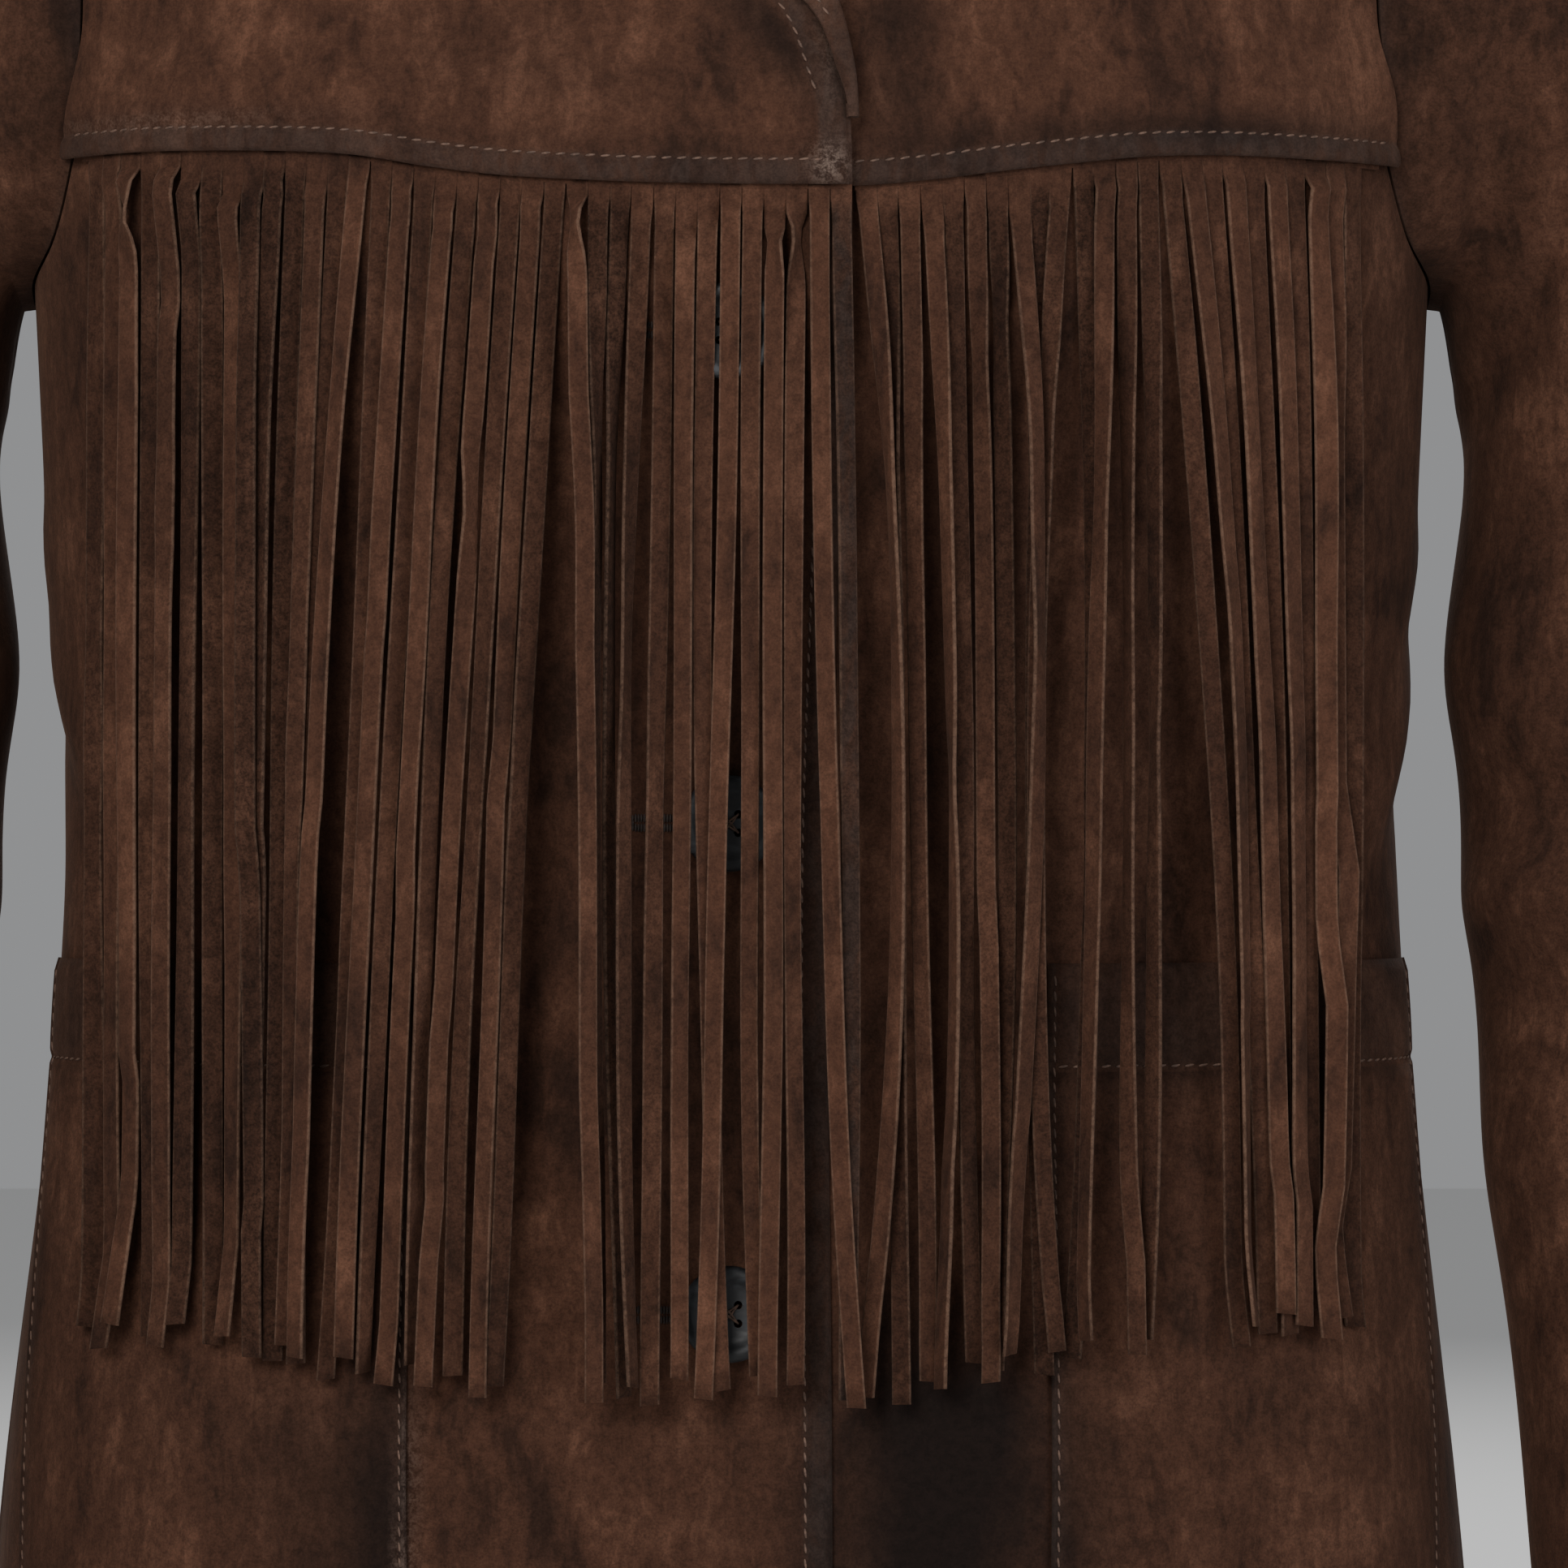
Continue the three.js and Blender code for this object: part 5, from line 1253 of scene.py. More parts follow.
def collar():
    up = np.array([0, 0, 1.0])
    half = []
    for seam_x, seam_z, stand, edge_x, edge_y in COLLAR_STATIONS:
        seam = neck_edge(seam_x, seam_z)
        rim = np.array([edge_x, edge_y, top_z(edge_x, edge_y) + COLLAR_CLEAR])
        outward = unit((rim - seam) * [1, 1, 0])
        foot = seam - outward * COLLAR_SEAM_IN
        half.append((foot, foot - outward * STAND_LEAN * stand + up * stand, rim, outward))
    flip = np.array([-1, 1, 1])
    rows = [[part * flip for part in row] for row in half[:0:-1]] + [list(row) for row in half]

    def points_of(u, v):
        foot, fold, rim, outward = (through([row[i] for row in rows], v) for i in range(4))
        outward = unit(outward)
        past = fold + outward * 5.5 - up * 1.5
        profile = [
            foot, foot + (fold - foot) * 0.55 - outward, fold, fold + outward * 2.4 + up * 1.6,
            past, past + (rim - past) * 0.33 + outward * 4 + up,
            past + (rim - past) * 0.7 + outward * 3 + up * 1.5, rim,
        ]
        rim = (1 - u) * COLLAR_SECTION
        worn = np.maximum(0.75 * (1 - step(rim, 5, 8)), 0.4 * hill((u - 0.42) / 0.06))
        return across_profile(profile, u), {"worn": worn, "dark": 0.25 * hill((rim - 11) / 4)}
    upward = Vector((0, 0, 1))
    cloth("collar_cloth", points_of, even(48), even(130), lambda _: upward, SUEDE_YOKE, CLOTH, 0)


collar()

# %% [markdown]
# The buttons are turned from horn: a dished disc with a rolled rim and four holes. A profile
# is spun round its axis and the holes are cut out of it. Thread crosses between the holes,
# and a short wound shank holds the button off the cloth.

# %% Horn and thread
HORN_DARK = linear(20, 21, 23)
HORN_PALE = linear(46, 48, 51)


def horn():
    material, tree, shader = new_material("horn_marbled")
    place = node(tree, "TexCoord", {}, output=3)
    leaning = node(tree, "Mapping", {}, place, Rotation=(0, 0.7, 0), Scale=(1, 1, 3))
    cloud = noise(tree, leaning, 90, 4, twist=1.4)
    vein = noise(tree, leaning, 320, 2, twist=0.8)
    colour = blend(tree, cloud.between(0.44, 0.66), HORN_DARK, HORN_PALE)
    colour = blend(tree, vein.between(0.56, 0.7) * 0.4, colour, HORN_DARK)
    tree.links.new(colour.socket, shader.inputs["Base Color"])
    rough = cloud.between(0.3, 0.7) * 0.2 + 0.5
    tree.links.new(rough.socket, shader.inputs["Roughness"])
    return material


def thread_material(name, colour):
    material, tree, shader = new_material(name, Roughness=0.75)
    fuzz = noise(tree, node(tree, "TexCoord", {}, output=3), 900, 2)
    darker = tuple(value * 0.5 for value in colour[:3]) + (1,)
    mixed = blend(tree, fuzz.between(0.35, 0.65), darker, colour)
    tree.links.new(mixed.socket, shader.inputs["Base Color"])
    return material


HORN = horn()
THREAD = thread_material("waxed_thread", linear(98, 75, 62))
DARK_THREAD = thread_material("dark_thread", linear(46, 33, 27))
print("horn and thread:", HORN.name, THREAD.name)

# %% Buttons
BUTTON_RADIUS = 12.6
BUTTON_THICK = 4.2
BUTTON_HEIGHTS = (-252, -380, -508)
BUTTON_SEAT = 0.95
HOLE_RADIUS = 1.1
HOLE_SPREAD = 2.4
THREAD_RADIUS = 0.3
THREAD_APART = 0.32
CROSSINGS = ((1, 3.1), (-1, 3.35))
THREAD_MARKS = ((-1, 0.6), (-0.92, 2.4), (0, None), (0.92, 2.4), (1, 0.6))
SHANK = {"radius1": 2.6, "radius2": 2.4, "depth": 0.9}
BUTTON_PROFILE = (
    (0.01, 0), (9.8, 0), (11.2, 0.3), (12.2, 1), (12.55, 1.8), (BUTTON_RADIUS, 2.5), (12.3, 3.3),
    (11.6, 3.95), (10.7, BUTTON_THICK), (9.8, 4.1), (9.1, 3.7), (8.4, 3.15), (7.4, 2.8),
    (5.2, 2.6), (0.01, 2.5),
)


def spun(bm, profile, count):
    """A closed turned solid about the Z axis from (radius, height) points."""
    verts = [bm.verts.new((radius, 0, height)) for radius, height in profile]
    edges = [bm.edges.new(pair) for pair in zip(verts, verts[1:])]
    turned_parts = {"cent": (0, 0, 0), "axis": (0, 0, 1), "angle": 2 * math.pi, "steps": count}
    bmesh.ops.spin(bm, geom=verts + edges, use_merge=True, **turned_parts)
    bmesh.ops.remove_doubles(bm, verts=bm.verts, dist=0.02)
    bmesh.ops.recalc_face_normals(bm, faces=bm.faces)


def button_frame(z):
    """Where a button at this height sits, and how it is turned to face away from the body."""
    place = place_at(0, z)
    seat = on_body(place, overlap_out(place) + BUTTON_SEAT)
    normal = Vector(face_normal(*place))
    across = Vector((0, 0, 1)).cross(normal).normalized()
    turn = Matrix((across, normal.cross(across), normal)).transposed()
    return Matrix.Translation(Vector(seat) * MM) @ turn.to_4x4() @ Matrix.Scale(MM, 4)


def drill(disc, holes):
    """Cuts the holes out of the disc for good, and keeps its edges crisp."""
    cut = disc.modifiers.new("holes", "BOOLEAN")
    cut.object = holes
    cut.operation = "DIFFERENCE"
    cut.solver = "EXACT"
    ready = disc.evaluated_get(bpy.context.evaluated_depsgraph_get())
    disc.data = bpy.data.meshes.new_from_object(ready)
    disc.modifiers.clear()
    bpy.data.objects.remove(holes)
    disc.data.shade_smooth()
    disc.modifiers.new("edges", "EDGE_SPLIT").split_angle = math.radians(45)


def button(index, z):
    at = button_frame(z)
    bm, cutter, crossing = bmesh.new(), bmesh.new(), bmesh.new()
    spun(bm, BUTTON_PROFILE, 64)
    for right, up in ((-1, -1), (1, -1), (1, 1), (-1, 1)):
        middle = Matrix.Translation((right * HOLE_SPREAD, up * HOLE_SPREAD, 2.5))
        sizes = {"radius1": HOLE_RADIUS, "radius2": HOLE_RADIUS, "depth": 12}
        bmesh.ops.create_cone(cutter, cap_ends=True, segments=16, matrix=middle, **sizes)
    for along, height in CROSSINGS:
        for apart in (-THREAD_APART, THREAD_APART):
            marks = [(share * HOLE_SPREAD, share * HOLE_SPREAD * along, rise)
                     if share else (apart, -apart * along, height)
                     for share, rise in THREAD_MARKS]
            tube(crossing, through(marks, np.linspace(0, 1, 15)), THREAD_RADIUS, 6)
    low = Matrix.Translation((0, 0, -SHANK["depth"] / 2))
    bmesh.ops.create_cone(crossing, cap_ends=True, segments=16, matrix=low, **SHANK)
    for mesh in (bm, cutter, crossing):
        bmesh.ops.transform(mesh, matrix=at, verts=mesh.verts)
    disc = finished(f"button_{index}_horn", bm, HORN, [f"button_{index}"])
    drill(disc, linked("holes", cutter))
    finished(f"button_{index}_thread", crossing, THREAD)
    shown(disc)


def tube(bm, points, radius, sides):
    """A closed thin tube along points."""
    points = [Vector(point) for point in points]
    last = len(points) - 1
    before = None
    for i, point in enumerate(points):
        ahead = points[min(i + 1, last)] - points[max(i - 1, 0)]
        turn = ahead.to_track_quat("Z", "Y").to_matrix().to_4x4()
        verts = bmesh.ops.create_circle(
            bm, cap_ends=i in (0, last), segments=sides, radius=radius,
            matrix=Matrix.Translation(point) @ turn)["verts"]
        ring = list({edge for vert in verts for edge in vert.link_edges})
        if before:
            bmesh.ops.bridge_loops(bm, edges=before + ring)
        before = ring
    bmesh.ops.recalc_face_normals(bm, faces=bm.faces)


for number, height in enumerate(BUTTON_HEIGHTS, 1):
    button(number, height)

# %% [markdown]
# The fringe is one strip of suede, cut into strands almost to its edge and sewn under the
# yoke. The tables hold what each strand does, counted from the front edge outwards: how far
# it has swung at its middle and its tip, its twist there, and which lie in front. "flip" is
# a sharper twist at a share of the way down, as where a strand was folded in the packing.
# A strand hangs from its root as near to the body as its neighbours behind it allow.

# %% How the strands hang
PITCH = 5.67
CUT_GAP = 0.55
STRAND_THICK = 1.0
LEFT_FRINGE_START_X = 32.4
HEADER_END = 0.975
STRAND_FREE_END = 5
ROOT_REACH = 3
ROOT_NEAR = 6
ROOT_LIFT = 2
HEADER_FOOT = 1.0
HANG_GAP = 0.3
SIDE_GAP = 0.3
BUTTON_ASIDE, BUTTON_ABOVE = 4, 8
SWAY_SLOPE = 0.2
CUT_OPENS = 0.018
ROOT_SOFT = 11
ROOT_CURL = 0.02
STRANDS = {
    -1: table(
        "mid tip turn end layer flip_at flip flip_tall",
        (2.2, 2.8, 14, 8, 0, 0.2, 0, 0.05), (2.7, 9, -12, -20, 2, 0.1, 12, 0.05),
        (-1.0, -1.0, 10, 0, 1, 0.045, 70, 0.03), (-0.9, -1.2, 6, 8, 2, 0.05, -50, 0.02),
        (-0.9, 1.4, -8, -8, 1, 0.2, 0, 0.05), (-2.6, -7.5, -10, -10, 2, 0.6, 14, 0.05),
        (-1.4, 3.0, 12, 10, 1, 0.7, -14, 0.06), (-1.6, -1.6, -8, 0, 2, 0.7, 20, 0.1),
        (-2.3, -3.6, 12, 0, 1, 0.5, 16, 0.08), (-4.6, -3.4, 38, 62, 1, 0.4, 20, 0.1),
        (-3.4, 0.6, 66, 40, 0, 0.05, 20, 0.04), (-0.6, 1.4, 78, 45, 0, 0.2, 0, 0.05),
        (3.8, 4.6, 16, 8, 2, 0.035, -62, 0.025), (-9.6, -17.5, 26, 40, 0, 0.5, 14, 0.05),
        (-9.5, -14, 6, 0, 1, 0.4, 12, 0.05), (-10, -16.2, -14, 0, 0, 0.2, 0, 0.05),
        (-9.6, -17.8, 15, 10, 1, 0.27, 58, 0.06), (-10.4, -15.7, 34, 60, 0, 0.24, -20, 0.06),
        (-9.7, -16, -8, 5, 1, 0.5, -14, 0.06), (-9.2, -16.4, 24, 55, 0, 0.2, 0, 0.05),
        (-8.6, -16.2, 0, 0, 1, 0.3, 14, 0.05), (-7.2, -15.7, 16, 5, 0, 0.7, -28, 0.06),
        (-11.5, -15.1, -18, -12, 2, 0.2, 0, 0.05), (-8, -12.6, 18, 14, 0, 0.2, 0, 0.05),
        (-5, -9.2, -12, 15, 1, 0.5, 24, 0.06), (-5, -6.3, 14, 0, 0, 0.2, 0, 0.05),
        (-4.2, -5.9, -18, 0, 0, 0.2, 0, 0.05),
    ),
    1: table(
        "mid tip turn end layer flip_at flip flip_tall",
        (8.2, 0.8, 58, 20, 2, 0.3, 10, 0.1), (3.4, 3.2, 72, 12, 0, 0.2, 0, 0.05),
        (2.6, 4.2, 26, 0, 1, 0.3, 18, 0.08), (5, 2.7, 62, 70, 2, 0.5, 16, 0.05),
        (3.0, 5.7, -24, 0, 0, 0.5, 22, 0.06), (3.4, 2.9, 24, 14, 1, 0.15, 30, 0.05),
        (2.7, -1, 34, 16, 0, 0.12, 40, 0.06), (3.1, -3.6, -28, -32, 2, 0.4, -16, 0.06),
        (-1.2, 1.7, 40, 20, 0, 0.25, 24, 0.06), (-7.6, -2.6, 28, 5, 1, 0.2, 34, 0.06),
        (2.6, -3.2, 48, 26, 0, 0.6, 24, 0.06), (-4.1, -6.1, 56, 58, 2, 0.3, 14, 0.06),
        (0.9, 1.3, 74, 18, 1, 0.35, 12, 0.1), (2.4, -1.5, 66, 60, 0, 0.5, 14, 0.05),
        (13.4, 19.8, 22, 16, 0, 0.2, 0, 0.05), (12.6, 15.1, -26, -58, 1, 0.2, 0, 0.05),
        (10.4, 17, 18, 16, 0, 0.4, 24, 0.05), (8.4, 13.2, -12, 22, 1, 0.2, 0, 0.05),
        (6.7, 10.3, 20, 0, 0, 0.5, 18, 0.05), (5.3, 7.4, -14, 0, 1, 0.2, 0, 0.05),
        (4, 5, 16, 5, 0, 0.2, 0, 0.05),
    ),
}
TIP_LINE = table(
    "x z", (-190, -514), (-117, -517), (-62, -525), (18, -527), (32, -529), (72, -521),
    (105, -515), (145, -512), (190, -511),
)
UNCUT = (2.5, 1.5, 5, 9, 4, 2, 7, 12, 3, 6, 1.5, 4, 2, 1, 3, 5, 2, 4, 6, 3, 2)
UNEVEN_TIPS = (0, 3, -2, 1, -4, 2, 0, -3, 4, -1, 2, -2, 3)
SECTIONS = np.concatenate([np.linspace(0, 0.084, 8), np.linspace(0.1, 1, 36)])


def fringed_shares(side):
    """The part of the yoke's lower edge that has a fringe."""
    edge = yoke_edges(side)["bottom"]
    shares = np.linspace(0, HEADER_END, 400)
    if side > 0:
        shares = shares[face_point(*edge(shares))[:, 0] >= LEFT_FRINGE_START_X]
    return edge, shares


def root_line(side):
    """The line that the roots lie on: its point, direction and outward side at a length."""
    edge, shares = fringed_shares(side)
    place = edge(shares)
    points = on_body(place, under_fringe(side)(place) + LAYER_GAP + STRIP / 2)
    lengths = lengths_along(points[:, :2])

    def at(length):
        length = np.asarray(length, float)
        inner = np.clip(length, 0, lengths[-1])
        ends = np.minimum(inner + ROOT_NEAR, lengths[-1]), np.maximum(inner - ROOT_NEAR, 0)
        after, before = (read_at(end, lengths, points) for end in ends)
        along = unit((after - before) * [1, 1, 0])
        beyond = (length - inner)[..., None] * along
        outward = np.stack([along[..., 1], -along[..., 0], along[..., 0] * 0], -1) * side
        return read_at(inner, lengths, points) + beyond, along, outward
    return at, lengths[-1]


def body_reach(point, outward, z, side):
    """How far the body stands out at a height, from a point of the root line."""
    place = np.arctan2(point[:, 0], -point[:, 1]), z
    on_pocket = (np.abs(point[:, 0]) > POCKET_INNER_X - 4) & (z < POCKET_TOP_Z + 12)
    aside = np.abs(point[:, 0]) < BUTTON_RADIUS + BUTTON_ASIDE
    near_button = np.zeros(len(z))
    for height in BUTTON_HEIGHTS:
        level = np.abs(z - height) < BUTTON_RADIUS + BUTTON_ABOVE
        near_button = np.maximum(near_button, aside * level)
    layer = overlap_out(place) if side < 0 else 0.0
    proud = POCKET_OUT * on_pocket + (BUTTON_THICK + BUTTON_SEAT) * near_button
    return np.sum((on_body(place, layer + proud) - point) * outward, axis=-1)


def strand_row(rows, k):
    """What a strand does. Those outside the picture do a little of what others do."""
    count = len(rows["mid"])
    if k < count:
        return row_at(rows, k)
    like = row_at(rows, (k * 5) % count)
    return {**like, "mid": like["mid"] / 6, "tip": like["tip"] / 6, "turn": like["turn"] / 2}


def strand_shape(side, k, root, pitch, point):
    """A strand's heights, sideways swing, twist and width at its sections."""
    t = SECTIONS
    row = strand_row(STRANDS[side], k)
    tip_z = float(smooth(TIP_LINE, "x", "z", point[0])) - UNEVEN_TIPS[k % len(UNEVEN_TIPS)]
    tall = point[2] - tip_z
    z = point[2] - t * tall
    z[0] = point[2] + ROOT_REACH
    sway = t * (4 * row["mid"] - row["tip"]) + t * t * (2 * row["tip"] - 4 * row["mid"])
    wave = t * (0.7 * np.sin(5.1 * t + 1.7 * k) + 0.35 * np.sin(11 * t + 2.3 * k))
    cut_from = UNCUT[k % len(UNCUT)] / tall
    free = step(t, cut_from, cut_from + CUT_OPENS)
    low = step(t, 0.55, 1)
    turn = row["turn"] * step(t, 0.02, 0.25) * (1 - low) + row["end"] * low
    turn = turn + row["flip"] * hill((t - row["flip_at"]) / row["flip_tall"])
    turn = np.radians(turn * free + 8 * np.sin(7 * t + 1.3 * k) * step(t, 0.02, 0.2))
    shrunk = 0.05 * step(t, 0.1, 0.6) * (1 + math.sin(3.7 * k))
    wide = (pitch - CUT_GAP * free) / 2 * (1 - shrunk)
    sine, cosine = np.abs(np.sin(turn)), np.abs(np.cos(turn))
    return {
        "k": k, "layer": row["layer"], "length": root + side * (sway + wave), "z": z,
        "turn": turn, "wide": wide, "free": free,
        "across": wide * cosine + STRAND_THICK / 2 * sine,
        "deep": wide * sine + STRAND_THICK / 2 * cosine,
    }


def lay(strand, hung, at, side):
    """How far out a strand lies: over the body, and over what hangs behind it already."""
    point, _, outward = at(strand["length"])
    need = body_reach(point, outward, strand["z"], side) + strand["deep"] + HANG_GAP
    for other in hung:
        apart = np.abs(strand["length"] - other["length"])
        meet = apart < strand["across"] + other["across"] + SIDE_GAP
        meet = meet | np.roll(meet, 1) | np.roll(meet, -1)
        front = other["off"] + other["deep"] + strand["deep"] + HANG_GAP
        need = np.where(meet, np.maximum(need, front), need)
    need[0] = 0
    slope = SWAY_SLOPE * np.abs(strand["z"][:, None] - strand["z"][None, :])
    off = np.maximum((need[None, :] - slope).max(axis=1), 0)
    off[0] = 0
    near = (strand["z"][0] - strand["z"]) * strand["free"]
    return np.minimum(off, ROOT_LIFT * near / ROOT_SOFT + ROOT_CURL * near**2)


def hang(side):
    at, total = root_line(side)
    strands = []
    root = PITCH / 2
    while root < total - STRAND_FREE_END:
        point, along, _ = (part[0] for part in at([root]))
        pitch = PITCH / max(abs(along[0]), 0.8)
        strands.append(strand_shape(side, len(strands), root, pitch, point))
        root += pitch
    hung = []
    for strand in sorted(strands, key=lambda one: one["layer"]):
        strand["off"] = lay(strand, hung, at, side)
        hung.append(strand)
    return at, strands


print("strands on the right:", len(hang(-1)[1]), "on the left:", len(hang(1)[1]))

# %% [markdown]
# A strand's section is a thin rounded strip, a little cupped. A grid with as many columns
# as the section has corners is laid round it, joined to itself, and closed at both ends. The
# "cut" attribute marks its two cut sides, which are paler than the brushed face.

# %% Strands and their strips
SECTION = (
    (-1, -0.3), (-1, 0.25), (-0.9, 0.5), (-0.78, 0.53), (0, 0.5), (0.78, 0.53), (0.9, 0.5),
    (1, 0.25), (1, -0.3), (0.93, -0.5), (0, -0.5), (-0.93, -0.5),
)
CUT_CORNERS = {0: 1.0, 1: 1.0, 2: 0.75, 6: 0.75, 7: 1.0, 8: 1.0}
CUP = 0.3
TIP_SLANT = 0.35
OWN_TONE = 0.08
# The strands behind (layer 0) are painted darker, as painted shade from those in front, and the
# front ones (layer 2) lighter, as painted light.
LAYER_PAINTED_SHADING = (-0.17, 0.0, 0.14)
GREY_STRANDS = {-1: (0,), 1: ()}
# Painted shade and light along each fringe, by strand. On the left fringe the strands from the
# front edge to about the tenth are painted darker, as they hang in shade, and the outer ones,
# turned to the lamp, are painted lighter. On the right fringe the tone only steps down and up
# along it.
SHADING_AND_TONE = {
    -1: table("k tone", (0, 0), (6, -0.02), (10, -0.1), (13, 0.06), (22, 0.02), (25, -0.08)),
    1: table("k tone", (0, -0.04), (4, -0.12), (9, -0.14), (12, 0.02), (15, 0.1), (20, 0.06)),
}


def add_strand(bm, at, strand, layers, grey, shade):
    corners = len(SECTION)
    rows = len(strand["z"])
    sizes = {"x_segments": corners, "y_segments": rows - 1, "size": 0.5}
    verts = bmesh.ops.create_grid(bm, **sizes)["verts"]
    point, along, outward = at(strand["length"])
    centre = point + outward * strand["off"][:, None]
    cos, sin = (f(strand["turn"])[:, None] for f in (np.cos, np.sin))
    across, through_cloth = along * cos + outward * sin, outward * cos - along * sin
    up_turn = TIP_SLANT * math.sin(2.9 * strand["k"])
    # A strand's tone: painted shade or light by its layer and by where it hangs, and its own
    # uneven tone.
    tone = LAYER_PAINTED_SHADING[int(strand["layer"])] + OWN_TONE * math.sin(12.9898 * strand["k"]) + shade
    for vertex in verts:
        column = round((vertex.co.x + 0.5) * corners) % corners
        row = round((vertex.co.y + 0.5) * (rows - 1))
        a, b = SECTION[column]
        cupped = CUP * (1 - a * a) * math.sin(1.9 * strand["k"] + 3 * SECTIONS[row])
        free = strand["free"][row]
        b = math.copysign(0.5, b) * (1 - free) + b * free
        spot = centre[row] + across[row] * a * strand["wide"][row]
        spot = spot + through_cloth[row] * (b * STRAND_THICK + cupped * free)
        tip_slant = up_turn * a if row == rows - 1 else 0
        vertex.co = Vector((spot[0], spot[1], strand["z"][row] + tip_slant)) * MM
        vertex[layers["cut"]] = CUT_CORNERS.get(column, 0.0) * free
        vertex[layers["tone"]] = tone * free
        vertex[layers["worn"]] = grey * free
    bmesh.ops.remove_doubles(bm, verts=verts, dist=1e-7)


def fringe(name, side):
    at, strands = hang(side)
    bm = bmesh.new()
    layers = {key: bm.verts.layers.float.new(key) for key in ("cut", "tone", "worn")}
    for strand in strands:
        grey = float(strand["k"] in GREY_STRANDS[side])
        shade = float(smooth(SHADING_AND_TONE[side], "k", "tone", strand["k"]))
        add_strand(bm, at, strand, layers, grey, shade)
    open_edges = [edge for edge in bm.edges if edge.is_boundary]
    bmesh.ops.holes_fill(bm, edges=open_edges, sides=len(SECTION))
    bmesh.ops.recalc_face_normals(bm, faces=bm.faces)
    edge, shares = fringed_shares(side)

    def header_points(u, v):
        angle, rise = edge(np.interp(u, [0, 1], [shares[0], shares[-1]]))
        place = angle, rise - HEADER_FOOT + v * (HEADER_FOOT + HEADER_TUCK)
        return on_body(place, under_fringe(side)(place) + LAYER_GAP + STRIP), {}
    header = grid_mesh(header_points, even(90), even(4))
    flipped_out(header, from_axis)
    made = finished(name + "_strands", bm, SUEDE_CUT, [name])
    thickened(finished(name + "_header", header, SUEDE_CUT), STRIP, soft=0.2)
    shown(made)


for word, side in SIDES:
    fringe(f"fringe_{word}", side)

# %% [markdown]
# Topstitching runs a set distance inside every turned edge. For each panel the line is found
# on its own surface, by asking where on the panel that distance is reached, and a stitch is
# a small ellipsoid of thread laid along it, a little slanted, half sunk in its groove.

# %% Lines of stitches
STITCH_PITCH = 3.9
STITCH_LONG = 2.7
STITCH_WIDE = 0.75
STITCH_HIGH = 0.55
STITCH_LIFT = 0.1
STITCH_SLANT = math.radians(9)
INSET_SHARE = 0.2
INSET_REACH = {"yoke_right_cloth": 0.75}


def surface_frames(name, u, v):
    """The points of a piece's face at (u, v) and its normals there."""
    def at(right, up):
        u_there, v_there = (np.clip(part, 0, 1) for part in (u + right, v + up))
        return SURFACES[name](u_there, v_there)[0]
    small = 0.002
    across, upward = at(small, 0) - at(-small, 0), at(0, small) - at(0, -small)
    return at(0, 0), unit(np.cross(across, upward))


def inset_line(name, side_name, inset, covers=None, first=0.0, last=1.0):
    """(u, v) along an edge of a panel, a distance inside it."""
    edges = EDGES[name]
    along = np.linspace(first, last, 120)
    reach = np.linspace(0, INSET_REACH.get(name, INSET_SHARE), 40)
    shares = 1 - reach if side_name in ("top", "end") else reach
    grid_along, grid_in = (part.ravel() for part in np.meshgrid(along, shares, indexing="ij"))
    level = side_name in LEVEL_EDGES
    u, v = (grid_along, grid_in) if level else (grid_in, grid_along)
    distance = from_edge(edges, u, v, side_name)
    if covers:
        distance = distance - covers(face_point(*inside(edges, u, v))[..., 2])
    rows = distance.reshape(len(along), len(shares))
    found = np.array([np.interp(inset, row, shares) for row in rows])
    return (along, found) if level else (found, along)


def stitched(row, name, line, lift=STITCH_LIFT):
    """Stitches at an even pitch along (u, v) on a piece's face."""
    u, v = line
    points, _ = surface_frames(name, u, v)
    gone = lengths_along(points)
    count = int(gone[-1] / STITCH_PITCH)
    at = (np.arange(count) + 0.5) * gone[-1] / count
    spots, normals = surface_frames(name, np.interp(at, gone, u), np.interp(at, gone, v))
    ways = unit(read_at(at + 0.5, gone, points) - read_at(at - 0.5, gone, points))
    outward = np.sign(np.sum(normals * (spots * [1, 1, 0]), axis=1))[:, None]
    for spot, normal, way in zip(spots, normals * outward, ways):
        add_stitch(row, spot + normal * lift, way, normal)
    return count


def add_stitch(row, spot, way, normal, long=STITCH_LONG, slant=STITCH_SLANT):
    """Adds one stitch to a row: its centre and its three half axes."""
    across = np.cross(normal, way)
    leaning = way * math.cos(slant) + across * math.sin(slant)
    across = across * math.cos(slant) - way * math.sin(slant)
    half = np.array([long, STITCH_WIDE, STITCH_HIGH]) / 2
    row.append((spot, np.stack([leaning, across, normal]) * half[:, None]))


def sewn_mesh(name, row):
    """One mesh of all the stitches in a row, each a copy of the same small ball, pulled out."""
    ball = bmesh.new()
    poles_along = Matrix.Rotation(math.pi / 2, 4, "Y")
    sizes = {"u_segments": 6, "v_segments": 5, "radius": 1}
    bmesh.ops.create_uvsphere(ball, matrix=poles_along, **sizes)
    corners = np.array([vertex.co[:] for vertex in ball.verts])
    sides = [[vertex.index for vertex in face.verts] for face in ball.faces]
    ball.free()
    points = np.concatenate([spot + corners @ axes for spot, axes in row]) * MM
    count = len(corners)
    faces = [[k * count + i for i in side] for k in range(len(row)) for side in sides]
    mesh = bpy.data.meshes.new(name)
    mesh.from_pydata(points.tolist(), [], faces)
    bm = bmesh.new()
    bm.from_mesh(mesh)
    bmesh.ops.recalc_face_normals(bm, faces=bm.faces)
    bpy.data.meshes.remove(mesh)
    return bm


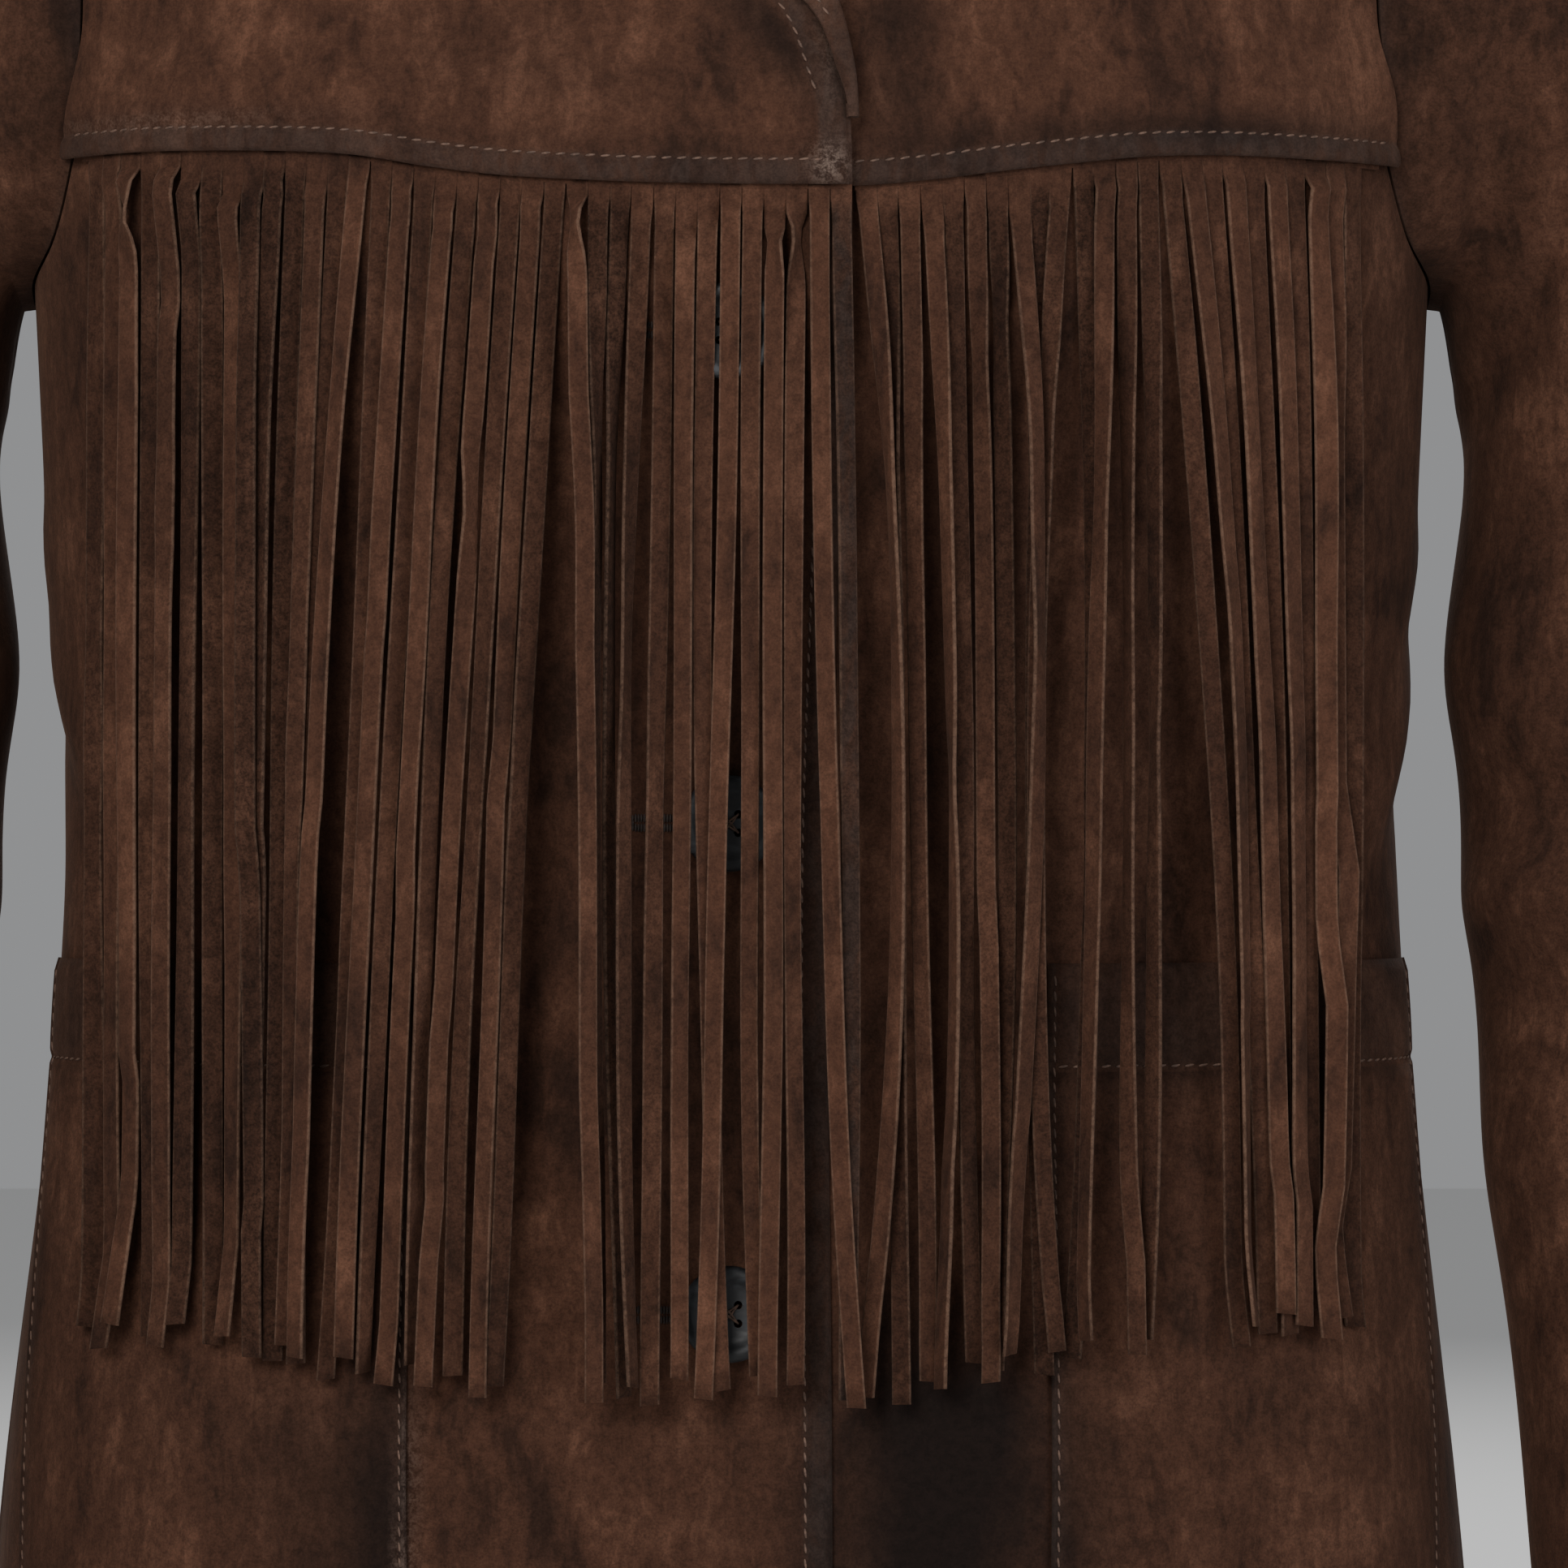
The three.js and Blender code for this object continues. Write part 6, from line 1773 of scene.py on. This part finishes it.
SEWN = [
    ("yoke_right", "bottom", TURNING, None, 0.035, 0.985),
    ("yoke_right", "start", EDGE_TURNING, lapel_cover, 0.075, 0.95),
    ("yoke_left", "bottom", TURNING, None, 0.02, 0.985),
    ("front_right", "start", FRONT_TURNING, None, 0.07, 0.93),
    ("front_right", "bottom", HEM_TURNING, None, 0.03, 0.99),
    ("front_left", "bottom", HEM_TURNING, None, 0.03, 0.99),
    ("back", "bottom", HEM_TURNING, None, 0.01, 0.99),
]
for word, _ in SIDES:
    SEWN += [
        (f"pocket_{word}", "start", POCKET_TURNING, None, 0.01, 0.985),
        (f"pocket_{word}", "end", POCKET_TURNING, None, 0.01, 0.985),
        (f"pocket_{word}", "bottom", POCKET_TURNING, None, 0.02, 0.98),
        (f"pocket_{word}", "top", POCKET_HEM, None, 0.02, 0.98),
    ]
STITCHES = {}
for name, side_name, *how in SEWN:
    row = STITCHES.setdefault(name, [])
    made = stitched(row, name + "_cloth", inset_line(name + "_cloth", side_name, *how))
    print(name, side_name, "stitches:", made)

# %% [markdown]
# The cuffs, lapels and collar are stitched along lines of their own grids. Each piece's
# stitches are one object, in the thread's slot.

# %% The other lines
COLLAR_STITCH_SHARE = 0.93
COLLAR_STITCH_LIFT = 0.9
LAPEL_STITCH_LIFT = 0.75
LAPEL_STITCHED_FROM = 14
CUFF_SHARE = 1 - CUFF_TURNING / RING_LENGTH / SLEEVE_RING_COUNT


def lapel_line(side):
    """Along the lapel's rim, where it is wide enough to be stitched."""
    from_z = LAPEL_FOOT_Z[side]
    v = np.linspace(0.04, 0.97, 200)
    width = lapel_width(side, v, from_z + (GORGE_Z - from_z) * v)
    keep = width > LAPEL_STITCHED_FROM
    return 1 - LAPEL_STITCH_IN / (0.78 * width[keep] + 1), v[keep]


def sew_cuff(row, name):
    """A round of stitches, each on the outer side of the sleeve."""
    u = np.linspace(0, 1, 200)
    ring = SURFACES[name](u, np.full_like(u, CUFF_SHARE))[0]
    gone = lengths_along(ring)
    count = int(gone[-1] / STITCH_PITCH)
    spots = read_at(np.arange(count) * gone[-1] / count, gone, ring)
    ways = unit(np.roll(spots, -1, axis=0) - np.roll(spots, 1, axis=0))
    middle = spots.mean(axis=0)
    for spot, way in zip(spots, ways):
        outward = unit(spot - middle)
        outward = unit(outward - way * np.dot(outward, way))
        add_stitch(row, spot + outward * STITCH_LIFT, way, outward)
    return count


def sew_collar(row):
    """Stitches along the leaf's rim, from one front end to the other."""
    v = np.linspace(0.012, 0.988, 200)
    gone = lengths_along(surface_frames("collar_cloth", v * 0 + COLLAR_STITCH_SHARE, v)[0])
    v = np.interp(np.arange(0.5, int(gone[-1] / STITCH_PITCH)) * STITCH_PITCH, gone, v)
    spots, normals = surface_frames("collar_cloth", v * 0 + COLLAR_STITCH_SHARE, v)
    normals = normals * np.sign(normals[:, 2])[:, None]
    for spot, way, normal in zip(spots, unit(np.gradient(spots, axis=0)), normals):
        add_stitch(row, spot + normal * COLLAR_STITCH_LIFT, way, normal)
    return len(spots)


for word, side in SIDES:
    cuff, rim = (STITCHES.setdefault(f"{piece}_{word}", []) for piece in ("sleeve", "lapel"))
    print("cuff stitches:", sew_cuff(cuff, f"sleeve_{word}_cloth"))
    made = stitched(rim, f"lapel_{word}_cloth", lapel_line(side), LAPEL_STITCH_LIFT)
    print("lapel stitches:", made)
print("collar stitches:", sew_collar(STITCHES.setdefault("collar", [])))

# %% [markdown]
# A buttonhole is a slit bound by close stitches across its edge. It starts behind the
# button's shank and runs away from the front edge. Its thread is as dark as the suede.

# %% Buttonholes
BUTTONHOLE_LONG = 27.0
BUTTONHOLE_START_X = 2
BUTTONHOLE_PITCH = 0.75
LIP_AWAY, LIP_STITCH = 1.25, 2.3
BAR_AWAY, BAR_STITCH = 1.2, 1.8
BOUND_LIFT = 0.12


def bound_stitch(row, x, z, long):
    """An upright stitch on the right front."""
    place = place_at(x, z)
    normal = face_normal(*place)
    way = unit(np.array([0, 0, 1.0]) - normal * normal[2])
    add_stitch(row, on_body(place, overlap_out(place) + BOUND_LIFT), way, normal, long, 0.0)


def buttonhole(row, z):
    for lip in (-LIP_AWAY, LIP_AWAY):
        for k in range(int(BUTTONHOLE_LONG / BUTTONHOLE_PITCH)):
            x = BUTTONHOLE_START_X - k * BUTTONHOLE_PITCH
            bound_stitch(row, x, z + lip, LIP_STITCH)
    for x in (BUTTONHOLE_START_X + 0.6, BUTTONHOLE_START_X - BUTTONHOLE_LONG):
        for bar in (-BAR_AWAY, 0, BAR_AWAY):
            bound_stitch(row, x, z + bar, BAR_STITCH)


STITCHES["buttonholes"] = []
for height in BUTTON_HEIGHTS:
    buttonhole(STITCHES["buttonholes"], height)
for name, row in STITCHES.items():
    mesh_name = f"stitches_{name}"
    thread = DARK_THREAD if name == "buttonholes" else THREAD
    shown(finished(mesh_name, sewn_mesh(mesh_name + "_rows", row), thread))

# %% [markdown]

# %% [markdown]
# The floor is part of the studio, not of the jacket.

# %% Floor
bm = bmesh.new()
bmesh.ops.create_grid(bm, x_segments=1, y_segments=1, size=6)
bmesh.ops.translate(bm, verts=bm.verts, vec=(0, 0, FLOOR_Z))
floor = linked("floor", bm)
pale, _, _ = new_material("pale_floor", Base_Color=(0.8, 0.8, 0.79, 1), Roughness=0.8)
floor.data.materials.append(pale)
